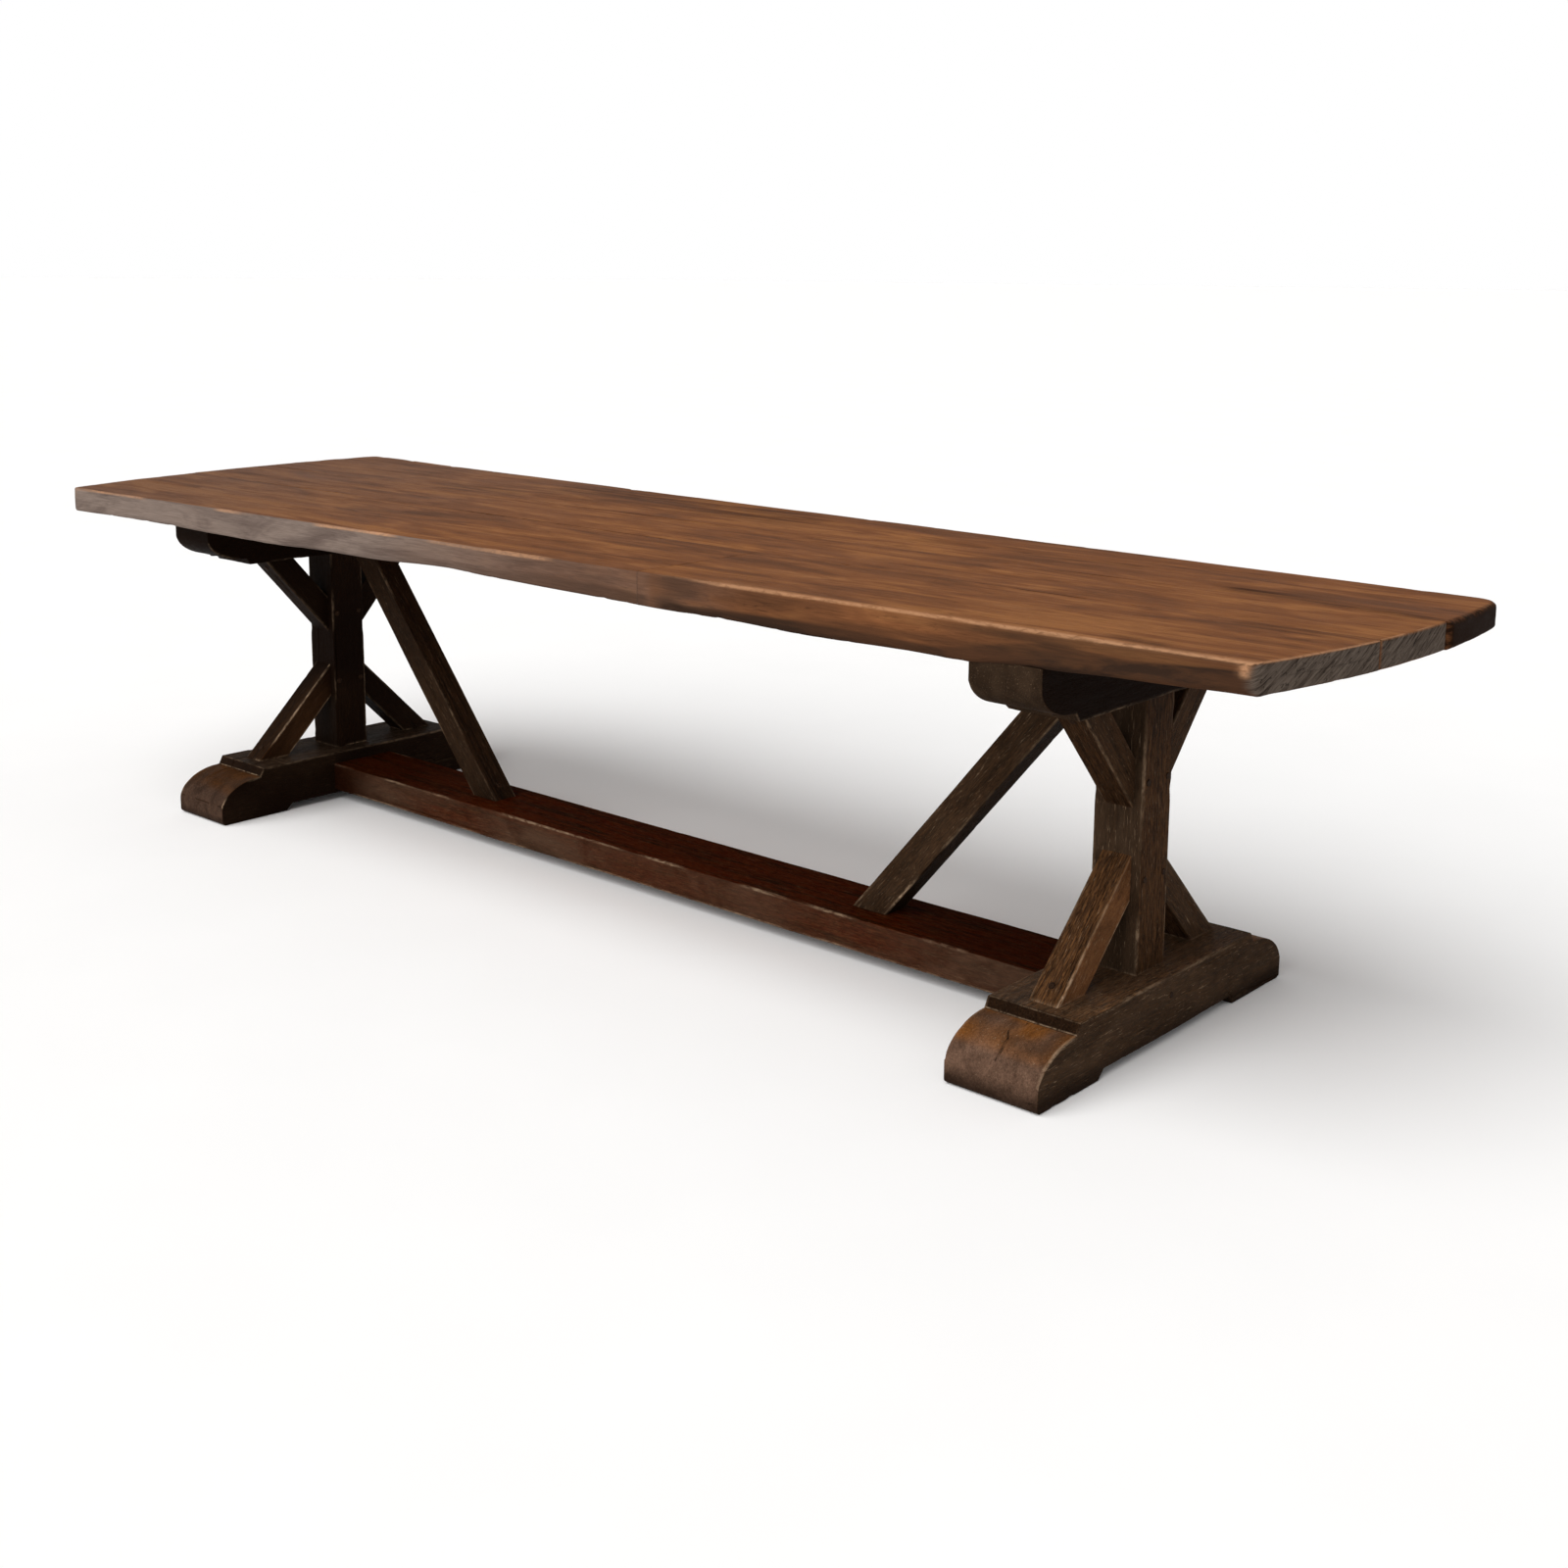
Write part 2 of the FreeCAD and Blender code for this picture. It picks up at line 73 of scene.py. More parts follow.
BODY = "root"
X_AXIS = Vector((1, 0, 0))
Y_AXIS = Vector((0, 1, 0))
Z_AXIS = Vector((0, 0, 1))
WHITE = (1.0, 1.0, 1.0, 1.0)


# Settings

def paint(code):
    """Linear colour of an sRGB hex value, as the shaders take it."""
    shares = [int(code[i:i + 2], 16) / 255 for i in (1, 3, 5)]
    linear = [s / 12.92 if s <= 0.04045 else ((s + 0.055) / 1.055) ** 2.4 for s in shares]
    return (*linear, 1.0)


def colour(name, description, code):
    return bpy.props.FloatVectorProperty(
        name=name, description=description, default=paint(code), size=4, min=0, max=1, subtype="COLOR"
    )


def length(name, description, default):
    return bpy.props.FloatProperty(
        name=name, description=description, default=default, min=0, unit="LENGTH"
    )


def rotation(name, description, default):
    return bpy.props.FloatProperty(name=name, description=description, default=default, unit="ROTATION")


def amount(name, description, default):
    return bpy.props.FloatProperty(name=name, description=description, default=default)


class TimberSettings(bpy.types.PropertyGroup):
    """How the timbers are meshed, and what hewing and wear have done to them."""

    pitch_across: length("Pitch across", "Distance between mesh lines across the grain", 0.006)
    pitch_along: length("Pitch along", "Distance between mesh rings along the grain", 0.010)
    arris: length("Arris", "Mean radius of the rubbed arrises of the frame", 0.0028)
    wave_height: length("Wave height", "Height of the waves that the plane left in the frame", 0.0006)
    wave_length: length("Wave length", "Length of those waves along the grain", 0.21)
    wave_width: length("Wave width", "Width of those waves across the grain", 0.045)
    check_width: length("Check width", "Width of a drying check", 0.0022)
    check_depth: length("Check depth", "Depth of a drying check", 0.0045)
    nick_depth: length("Nick depth", "Depth of the knocks along an arris", 0.0018)
    joint_sink: length("Joint sink", "How far a shoulder is let into the timber that it meets", 0.0015)


class TopSettings(bpy.types.PropertyGroup):
    """Shape of the plank top's edges."""

    worn_arris: length("Worn arris", "Radius of the front arris where arms have rubbed it round", 0.017)
    crisp_arris: length("Crisp arris", "Radius of the front arris where it is still crisp", 0.005)
    lower_arris: length("Lower arris", "Radius of the lower edge of the front", 0.014)
    joint_arris: length("Joint arris", "Radius of the arrises along the joints of the boards", 0.0006)
    end_arris: length("End arris", "Radius round the end grain", 0.006)
    wave_height: length("Wave height", "Height of the shallow waves in the top", 0.0006)
    change_length: length("Change length", "Stretch where the front arris turns from crisp to worn", 0.25)
    thin_end: length("Thin end", "How much thinner the boards are at the right end", 0.009)
    corner: length("Corner", "Radius of the corners of the top", 0.018)
    far_corner: length("Far corner", "Radius of the corner at the back of the right end", 0.034)
    far_arris: length("Far arris", "Radius round the end grain at that corner", 0.011)
    back_reach: length("Back reach", "How far the back board's right end stands past its neighbour", 0.007)


class PegSettings(bpy.types.PropertyGroup):
    """The riven pegs and the dowels."""

    sides: bpy.props.IntProperty(name="Sides", description="Facets round a riven peg", default=10, min=5)
    seed: bpy.props.IntProperty(name="Seed", description="Which random turn each peg has", default=4)
    head_round: bpy.props.FloatProperty(
        name="Head round", description="Share of a peg's length that is eased at each end", default=0.03,
        min=0.005, max=0.2, subtype="FACTOR",
    )


class OakColours(bpy.types.PropertyGroup):
    """Colours of the oak, waxed, weathered and rubbed, some of which also paint light and shade."""

    top_dark: colour("Top dark", "Dark streaks of the waxed top", "#603d27")
    top_middle: colour("Top middle", "Ground colour of the waxed top", "#774b2e")
    top_pale: colour("Top pale", "Pale streaks of the waxed top", "#8d5d38")
    stain: colour("Stain", "Old spills that run along the grain", "#1d110a")
    # Also painted as a grey reflection over the far left of the top
    weathered: colour("Weathered", "Grey skin of the front edge", "#776a62")
    weathered_dark: colour("Weathered dark", "Darker clouds in that skin", "#5e524c")
    # Also painted as shade over the far left of the top
    soot_and_shade: colour("Soot", "Dark handled patches on the front edge", "#30221a")
    # Also painted as a highlight line along the front arris
    rubbed_and_highlight: colour("Rubbed", "Bare wood along the front arris", "#b98a66")
    end_pale: colour("End pale", "Early wood in the end grain", "#5c5148")
    end_dark: colour("End dark", "Late wood and cracks in the end grain", "#2f2620")
    frame_dark: colour("Frame dark", "Dark pores of the stained frame", "#140a05")
    frame_middle: colour("Frame middle", "Ground colour of the stained frame", "#3f2b1c")
    frame_amber: colour("Frame amber", "Fibres where the stain has gone", "#885427")
    frame_fibre: colour("Frame fibre", "Fibres where the stain has thinned", "#7e5532")
    frame_plain: colour("Frame plain", "Planed faces with a dull olive skin", "#3c2e22")
    frame_scuffed: colour("Frame scuffed", "End grain that shoes have scuffed", "#664d3e")
    frame_rubbed: colour("Frame rubbed", "Pale line along a rubbed arris", "#a88d72")
    stretcher_dark: colour("Stretcher dark", "Dark fibres of the polished stretcher", "#190500")
    stretcher_red: colour("Stretcher red", "Red brown ground of the polished stretcher", "#3c1002")
    stretcher_front: colour("Stretcher front", "Scuffed front of the stretcher", "#4b382b")
    peg: colour("Peg", "End grain of the pegs", "#2e1e12")
    dowel: colour("Dowel", "Clean oak of the hidden dowels", "#a5814f")
    floor: colour("Floor", "Matt paint of the studio floor", "#fcfbfa")


class StudioSettings(bpy.types.PropertyGroup):
    """Camera and lights."""

    place: bpy.props.FloatVectorProperty(
        name="Place", description="Where the camera stands", default=(2.7209, -2.6956, 1.2790),
        unit="LENGTH",
    )
    turn: rotation("Turn", "How far the camera is turned from +Y towards -X", 0.7231)
    tilt: rotation("Tilt", "How far the camera looks down", 0.1743)
    roll: rotation("Roll", "How far the camera leans", 0.0078)
    lens: amount("Lens", "Focal length in millimetres", 43.22)
    shift: amount("Shift", "Vertical lens shift", -0.1154)
    sky: amount("Sky", "Light from overhead", 0.30)
    horizon: amount("Horizon", "Light from the backdrop all round", 1.0)
    key: amount("Key", "Strength of the broad light in front", 2.8)
    key_spread: rotation("Key spread", "How broad that light is", math.radians(70))
    floor_size: length("Floor size", "Side of the studio floor", 400.0)


# Noise and measuring

HASH_PRIMES = (73856093, 19349663, 83492791)
HASH_FACTOR = 1274126177
SEED_FACTOR = 9176
SEED_START = 77
MERGE_DISTANCE = 1e-6

# Which random draws each kind of noise has
NOISE_SEEDS = {
    "foot_patch": 17, "dust": 29, "edge_streak": 33, "edge_band": 34, "edge_mottle": 35, "left_painted_shade": 47,
    "joint": 57, "spill": 61, "stretcher": 71, "upper_arris": 90, "live_edge": 91, "lower_arris": 95,
}


def smooth_noise(points, cell, seed):
    """Smooth random heights from -1 to 1 over points, with one value per cell of the given size."""
    grid = points / np.asarray(cell, float)
    corner = np.floor(grid).astype(np.int64)
    share = grid - corner
    share = share * share * (3 - 2 * share)
    total = np.zeros(points.shape[:-1])
    for step in itertools.product((0, 1), repeat=3):
        key = corner + np.array(step)
        spread = key * np.array(HASH_PRIMES)
        mixed = spread[..., 0] ^ spread[..., 1] ^ spread[..., 2] ^ (seed * SEED_FACTOR + SEED_START)
        mixed = (mixed ^ (mixed >> 13)) * HASH_FACTOR
        value = ((mixed ^ (mixed >> 16)) & 0xFFFF) / 0x7FFF - 1
        total += np.prod(np.where(step, share, 1 - share), axis=-1) * value
    return total


def line_noise(places, cell, seed):
    """Smooth random heights from -1 to 1 along a line."""
    points = np.stack([places, np.zeros_like(places), np.zeros_like(places)], axis=-1)
    return smooth_noise(points, (cell, 1, 1), seed)


def ease(values):
    """Smooth step from 0 to 1."""
    share = np.clip(values, 0, 1)
    return share * share * (3 - 2 * share)


def surface_of(node_name):
    """Search tree over a CAD node's faces, to measure it with rays."""
    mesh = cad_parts[node_name].data
    points = [v.co for v in mesh.vertices]
    return BVHTree.FromPolygons(points, [tuple(p.vertices) for p in mesh.polygons])


def hit(tree, start, direction):
    """Point where a ray first meets the surface."""
    point = tree.ray_cast(Vector(start), Vector(direction))[0]
    if point is None:
        raise RuntimeError(f"a ray from {tuple(start)} meets nothing")
    return point


def sharp_edges(node_name, angle):
    """Both ends of every CAD edge that turns by more than the angle."""
    work = bmesh.new()
    work.from_mesh(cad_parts[node_name].data)
    bmesh.ops.remove_doubles(work, verts=work.verts, dist=MERGE_DISTANCE)
    edges = [e for e in work.edges if len(e.link_faces) == 2 and e.calc_face_angle() > angle]
    ends = [(e.verts[0].co.copy(), e.verts[1].co.copy()) for e in edges]
    work.free()
    return ends


# Sweeping a timber

# Mesh lines round a section and rings at its ends
ARC_STEPS = 7
NEAR_ARRIS = (0.003, 0.007, 0.014)
CAP_RINGS = 8
CAP_CORE = 0.0004
ROUND_RINGS = 4
END_STEPS = (0.0025, 0.005)
RIM_GAP = 0.0008
LEAST_STEP = 0.002
LEAST_RADIUS = 0.0003

# An end that is rounded less than this is a shoulder in a joint, which nothing wears
WORN_END = 0.002
FAR_AWAY = 1.0

# Where the rings are pinched, a normal is too short, or turns too far from the plain section's
TINY = 1e-12
PINCHED = 0.3

# Waves, knocks and rubbing: how far they reach from an arris and how large their patches are
KNOCK_REACH = 0.005
KNOCK_CELL = (0.025, 0.05, 0.05)
WAVE_SINK = 0.7
RUB_REACH = 0.0016
RUB_CELL = (0.09, 0.04, 0.04)
ARRIS_CELL = 0.13
ARRIS_SEED = 20
GRAIN_SHIFT = (0.731, 0.217, 0.113)

# Drying checks: where they begin and how long and deep they are, as shares, and how they wander
CHECK_BEGINS = (0.02, 0.75)
CHECK_RUNS = (0.12, 0.35)
CHECK_DEPTHS = (0.3, 0.8)
CHECK_WANDER = 0.0012
WANDER_CELL = 0.022

# Which random draws each timber and its checks have, and how many checks there are
SEEDS = {
    "board": 3, "foot": 10, "bearer": 14, "post": 20, "short_brace": 31, "stretcher": 45, "long_brace": 50,
}
CHECKS = {
    "foot": (40, 5), "bearer": (50, 3), "post": (60, 5), "short_brace": (70, 2), "stretcher": (80, 6),
    "long_brace": (90, 3),
}

BOTTOM, RIGHT, TOP, LEFT = range(4)

# Numbers that a mesh keeps for its material: bare arrises, end grain, stain, skin and handling, with
# painted light and shade
FIELDS = ("wear", "endgrain", "stain", "weathered", "handled")


def ring_columns(width, height, pitch, checks, check_width):
    """Mesh lines round a section, over its four arrises and along its four sides.

    Each has the two corners that it lies between, its share of the way, the angle that it faces, its
    distance from the nearest arris, the drying check that it belongs to and whether it lies in the bottom
    of that check.
    """
    rows = []
    for side, size in enumerate((width, height, width, height)):
        for step in range(ARC_STEPS + 1):
            rows.append((side, side, 0.0, 180 + 90 * side + 90 * step / ARC_STEPS, 0.0, -1, 0))
        count = max(2, round(size / pitch))
        places = {i / count: (-1, 0) for i in range(1, count)}
        for near in NEAR_ARRIS:
            if near < size / 2 - pitch:
                places[near / size] = (-1, 0)
                places[1 - near / size] = (-1, 0)
        for number, check in enumerate(checks):
            if check["side"] == side:
                half = check_width / 2 / size
                places = {s: kind for s, kind in places.items() if abs(s - check["share"]) > 3 * half}
                places[check["share"] - 2 * half] = (number, 0)
                places[check["share"] - half / 3] = (number, 1)
                places[check["share"] + half / 3] = (number, 1)
                places[check["share"] + 2 * half] = (number, 0)
        for share in sorted(places):
            away = min(share, 1 - share) * size
            rows.append((side, (side + 1) % 4, share, 270 + 90 * side, away, *places[share]))
    return [np.array(column) for column in zip(*rows)]


def section(limits, radii, columns):
    """Distances across and up of every mesh line in every ring, and the way each line faces."""
    first, second, share, angle = columns[:4]
    low_p, high_p, low_q, high_q = limits
    centre_p = np.stack([low_p + radii[0], high_p - radii[1], high_p - radii[2], low_p + radii[3]])
    centre_q = np.stack([low_q + radii[0], low_q + radii[1], high_q - radii[2], high_q - radii[3]])
    facing = np.stack([np.cos(np.radians(angle)), np.sin(np.radians(angle))], axis=-1)
    across = []
    for centre, part in ((centre_p, facing[:, 0]), (centre_q, facing[:, 1])):
        start = centre[first] + radii[first] * part[:, None]
        end = centre[second] + radii[second] * part[:, None]
        across.append((start * (1 - share[:, None]) + end * share[:, None]).T)
    return across[0], across[1], facing


def ring_stations(span, end_round, pitch, stations):
    """Places of the rings between the two rounded ends, as shares of the span."""
    edge = [radius + RIM_GAP for radius in end_round]
    if stations is None:
        count = max(4, round(span / pitch))
        close = np.array(END_STEPS)
        even = np.linspace(0, 1, count + 1)[1:-1]
        ends = [(edge[0] + close) / span, 1 - (edge[1] + close) / span]
        stations = np.unique(np.concatenate([even, *ends]))
    past_first = stations * span > edge[0] + LEAST_STEP
    before_last = (1 - stations) * span > edge[1] + LEAST_STEP
    inner = stations[past_first & before_last]
    return np.concatenate([[edge[0] / span], inner, [1 - edge[1] / span]])


def ring_plan(stations, end_round, halves):
    """Rings from the middle of the first end, over its rounded rim, along the grain and into the other end.

    For each ring: its share of the span, the way its end looks, how far it is set in from the sides and
    back from the end, and how far it is tilted to face along the grain.
    """
    turn = np.radians(np.linspace(0, 90, ROUND_RINGS + 1))
    ends = []
    for radius, half in zip(end_round, halves):
        cap = np.linspace(radius, half - CAP_CORE, CAP_RINGS + 1)[1:]
        ends.append((
            np.concatenate([radius * (1 - np.cos(turn)), cap]),
            np.concatenate([radius * (1 - np.sin(turn)), 0 * cap]),
            np.concatenate([turn, 0 * cap + math.pi / 2]),
        ))
    inset, depth, tilt = (np.concatenate([begun[::-1], 0 * stations, ended]) for begun, ended in zip(*ends))
    begun, ended = (np.ones(len(rim[0])) for rim in ends)
    share = np.concatenate([0 * begun, stations, ended])
    way = np.concatenate([-begun, 0 * stations, ended])
    return share, way, inset, depth, tilt


def sweep(name, material, axes, cuts, limits, arrises, seed, stations=None, checks=(),
          end_round=(0.0015, 0.0015), wave_height=None, origin=Vector(), shape=None, fields=None):
    """Worn timber as a closed mesh, swept along its grain.

    axes holds the directions along, across and up from the origin. cuts are the two ends as functions of
    the place in the section. limits gives the four sides at places along the grain, and arrises the four
    radii there. shape may move the finished points, and fields adds numbers for the material.
    """
    settings = bpy.context.scene.refectory_timber
    wave_height = settings.wave_height if wave_height is None else wave_height
    start, end = cuts
    middle = np.zeros(1)
    first, last = float(start(middle, middle)[0]), float(end(middle, middle)[0])
    span = last - first

    # Width and height of the section at the first end, in the middle and at the last end
    sections = []
    for place in (first, (first + last) / 2, last):
        low_p, high_p, low_q, high_q = (float(value[0]) for value in limits(np.array([place])))
        sections.append((high_p - low_p, high_q - low_q))
    columns = ring_columns(*sections[1], settings.pitch_across, checks, settings.check_width)
    stations = ring_stations(span, end_round, settings.pitch_along, stations)
    halves = (min(sections[0]) / 2, min(sections[2]) / 2)
    share, way, inset, depth, tilt = ring_plan(stations, end_round, halves)

    places = first + span * share - way * depth
    low_p, high_p, low_q, high_q = limits(places)
    shrunk = (low_p + inset, high_p - inset, low_q + inset, high_q - inset)
    radii = np.maximum(np.stack(arrises(places)) - inset, LEAST_RADIUS)
    p, q, facing = section(shrunk, radii, columns)
    s = start(p, q) * (1 - share[:, None]) + end(p, q) * share[:, None] - (way * depth)[:, None]

    # A check wanders from side to side and gapes in the middle of its length
    away, check_number, is_bottom = columns[4:]
    sunk = np.zeros(p.shape)
    run = (places - first) / span
    for number, check in enumerate(checks):
        drift = check["wander"] * line_noise(places, WANDER_CELL, seed + number)[:, None]
        drift = drift * (check_number == number)
        p = p - drift * facing[:, 1]
        q = q + drift * facing[:, 0]
        gape = np.sin(np.pi * np.clip((run - check["from"]) / (check["to"] - check["from"]), 0, 1))
        bottom = (check_number == number) & (is_bottom == 1)
        sunk += settings.check_depth * check["depth"] * np.sqrt(np.abs(gape))[:, None] * bottom

    grain = np.stack([s, p, q], axis=-1)
    normal = np.stack([
        np.broadcast_to((way * np.sin(tilt))[:, None], p.shape),
        np.cos(tilt)[:, None] * facing[:, 0],
        np.cos(tilt)[:, None] * facing[:, 1],
    ], axis=-1)

    # Height of the surface over the plain section
    hidden = np.where(way < 0, end_round[0] < WORN_END, end_round[1] < WORN_END) & (tilt > 0)
    cap_away = np.where(hidden, FAR_AWAY, inset)[:, None]
    arris_away = np.where(tilt[:, None] > 0, cap_away, away)
    for radius, rim_away in zip(end_round, (s - start(p, q), end(p, q) - s)):
        if radius > WORN_END:
            arris_away = np.where(tilt[:, None] > 0, arris_away, np.minimum(arris_away, np.abs(rim_away)))
    near_arris = np.exp(-(arris_away / KNOCK_REACH) ** 2)
    cell = np.array((settings.wave_length, settings.wave_width, settings.wave_width))
    swell = smooth_noise(grain, cell, seed) + 0.35 * smooth_noise(grain, cell / 3, seed + 1)
    knocks = np.clip(smooth_noise(grain, KNOCK_CELL, seed + 2) - 0.5, 0, 1) * 2
    rise = wave_height * (swell - WAVE_SINK) - settings.nick_depth * knocks * near_arris - sunk
    grain = grain + normal * np.where(hidden[:, None], 0, rise)[..., None]

    turned = np.array([list(axis) for axis in axes])
    world = grain @ turned + np.array(origin)
    if shape:
        world = shape(world)
    outward = facing_out(world, normal @ turned)
    rubbing = np.clip(0.3 + 1.1 * smooth_noise(grain, RUB_CELL, seed + 3), 0, 1)
    values = {
        "wear": np.exp(-(arris_away / RUB_REACH) ** 2) * rubbing,
        "endgrain": np.broadcast_to(np.sin(tilt)[:, None] ** 2, p.shape),
    }
    if fields:
        values.update(fields(world, outward, values["wear"]))
    return closed_mesh(name, material, world, grain + seed * np.array(GRAIN_SHIFT), values)


def facing_out(points, guess):
    """Unit normals of a grid of rings on the side of the guess, or the guess where the grid is pinched."""
    along = np.gradient(points, axis=0)
    around = np.roll(points, -1, axis=1) - np.roll(points, 1, axis=1)
    normal = np.cross(along, around)
    normal = normal / np.maximum(np.linalg.norm(normal, axis=-1, keepdims=True), TINY)
    side = np.sum(normal * guess, axis=-1, keepdims=True)
    return np.where(np.abs(side) > PINCHED, normal * np.sign(side), guess)


def closed_mesh(name, material, points, grain, values):
    """Object from a grid of rings, closed at both ends, with its grain, wear and painted light kept as
    attributes.
    """
    rings, around = points.shape[:2]
    number = np.arange(rings * around).reshape(rings, around)
    after = np.roll(number, -1, axis=1)
    quads = np.stack([number[:-1], after[:-1], after[1:], number[1:]], axis=-1).reshape(-1, 4)
    faces = quads.tolist() + [number[0][::-1].tolist(), number[-1].tolist()]
    mesh = bpy.data.meshes.new(f"{name}_oak")
    mesh.from_pydata(points.reshape(-1, 3).tolist(), [], faces)
    put_field(mesh, "grain", grain.reshape(-1, 3))
    for key in FIELDS:
        put_field(mesh, key, np.broadcast_to(values.get(key, 0.0), (rings, around)).ravel())
    work = bmesh.new()
    work.from_mesh(mesh)
    bmesh.ops.recalc_face_normals(work, faces=work.faces)
    work.to_mesh(mesh)
    work.free()
    mesh.shade_smooth()
    mesh.materials.append(material)
    piece = bpy.data.objects.new(mesh.name, mesh)
    bpy.context.scene.collection.objects.link(piece)
    return piece


def put_field(mesh, name, values):
    """Keeps a number or a vector for every vertex of a mesh."""
    kind, key = ("FLOAT_VECTOR", "vector") if values.ndim == 2 else ("FLOAT", "value")
    made = mesh.attributes.new(name, kind, "POINT")
    made.data.foreach_set(key, values.astype(np.float32).ravel())


def hand_over(piece, slot, *nodes):
    """Sets a finished piece on the table's body, in place of its CAD nodes."""
    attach(piece, BODY)
    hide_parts(*nodes)


def random_checks(kind, number, sides):
    """Drying checks at random places on the given sides of the timber of that kind and number."""
    seed, count = CHECKS[kind]
    draw = np.random.default_rng(seed + number)
    made = []
    for i in range(count):
        begin = draw.uniform(*CHECK_BEGINS)
        made.append({
            "side": int(draw.choice(sides)),
            "share": (i + draw.uniform(0.3, 0.7)) / count,
            "from": begin,
            "to": begin + draw.uniform(*CHECK_RUNS),
            "depth": draw.uniform(*CHECK_DEPTHS),
            "wander": CHECK_WANDER,
        })
    return made


def even_arrises(settings, seed):
    """Rubbed arrises of a frame timber, whose radius wanders along the grain."""
    def radii(places):
        changes = [0.3 * line_noise(places, ARRIS_CELL, seed + ARRIS_SEED + corner) for corner in range(4)]
        return [settings.arris * (1 + change) for change in changes]
    return radii


# Materials

MIX = {"kind": "ShaderNodeMix", "data_type": "RGBA"}
SHADE = {**MIX, "blend_type": "MULTIPLY"}
MATH = "ShaderNodeMath"
RAMP = "ShaderNodeValToRGB"
NOISE = "ShaderNodeTexNoise"
OAK_IOR = 1.46


def grey(level):
    """Opaque grey of that level."""
    return (level, level, level, 1.0)


def node(tree, kind, inputs=None, stops=(), **settings):
    """Adds a node with its settings and colour stops, sets or links its inputs and returns its outputs."""
    made = tree.nodes.new(kind)
    for key, value in settings.items():
        setattr(made, key, value)
    for key, value in (inputs or {}).items():
        if isinstance(value, bpy.types.NodeSocket):
            tree.links.new(value, made.inputs[key])
        else:
            made.inputs[key].default_value = value
    for number, (place, tone) in enumerate(stops):
        elements = made.color_ramp.elements
        element = elements[number] if number < len(elements) else elements.new(place)
        element.position = place
        element.color = tone
    return made.outputs


def new_material(name):
    """Material with an empty node tree."""
    material = bpy.data.materials.new(name)
    material.use_nodes = True
    material.node_tree.nodes.clear()
    return material, material.node_tree


def material_of(name, make, **settings):
    """The material of that name, made the first time that a piece asks for it."""
    return bpy.data.materials.get(name) or make(name, **settings)


def oak_patterns(tree, patterns):
    """Noise drawn out along the grain, one for each name: its length, width and tilt, and its detail."""
    grain = node(tree, "ShaderNodeAttribute", attribute_name="grain")["Vector"]
    made = {}
    for name, (long_mm, wide_mm, tilt, detail) in patterns.items():
        # A tilted pattern lies across the end grain instead
        long, wide = long_mm / 1000, wide_mm / 1000
        size = (1.0, long, wide) if tilt else (long, wide, wide)
        place = node(tree, "ShaderNodeMapping", {
            "Vector": grain, "Rotation": (math.radians(tilt), 0, 0), "Scale": size,
        }, vector_type="TEXTURE")["Vector"]
        made[name] = node(tree, NOISE, {
            "Vector": place, "Scale": 1.0, "Detail": detail, "Roughness": 0.6, "Distortion": 0.8,
        })["Fac"]
    for name in FIELDS:
        made[name] = node(tree, "ShaderNodeAttribute", attribute_name=name)["Fac"]
    return made


def finish_oak(tree, wood, relief, strength, depth, pattern, roughness, sheen):
    """Gives the wood its relief and its dull sheen, and sends it to the output."""
    bump = node(tree, "ShaderNodeBump", {"Height": relief, "Strength": strength, "Distance": depth})[0]
    least, most = roughness
    rough = node(tree, "ShaderNodeMapRange", {
        "Value": pattern, "From Min": 0.3, "From Max": 0.7, "To Min": least, "To Max": most,
    })[0]
    surface = node(tree, "ShaderNodeBsdfPrincipled", {
        "Base Color": wood, "Roughness": rough, "Normal": bump, "IOR": OAK_IOR, "Specular IOR Level": sheen,
    })[0]
    node(tree, "ShaderNodeOutputMaterial", {"Surface": surface})


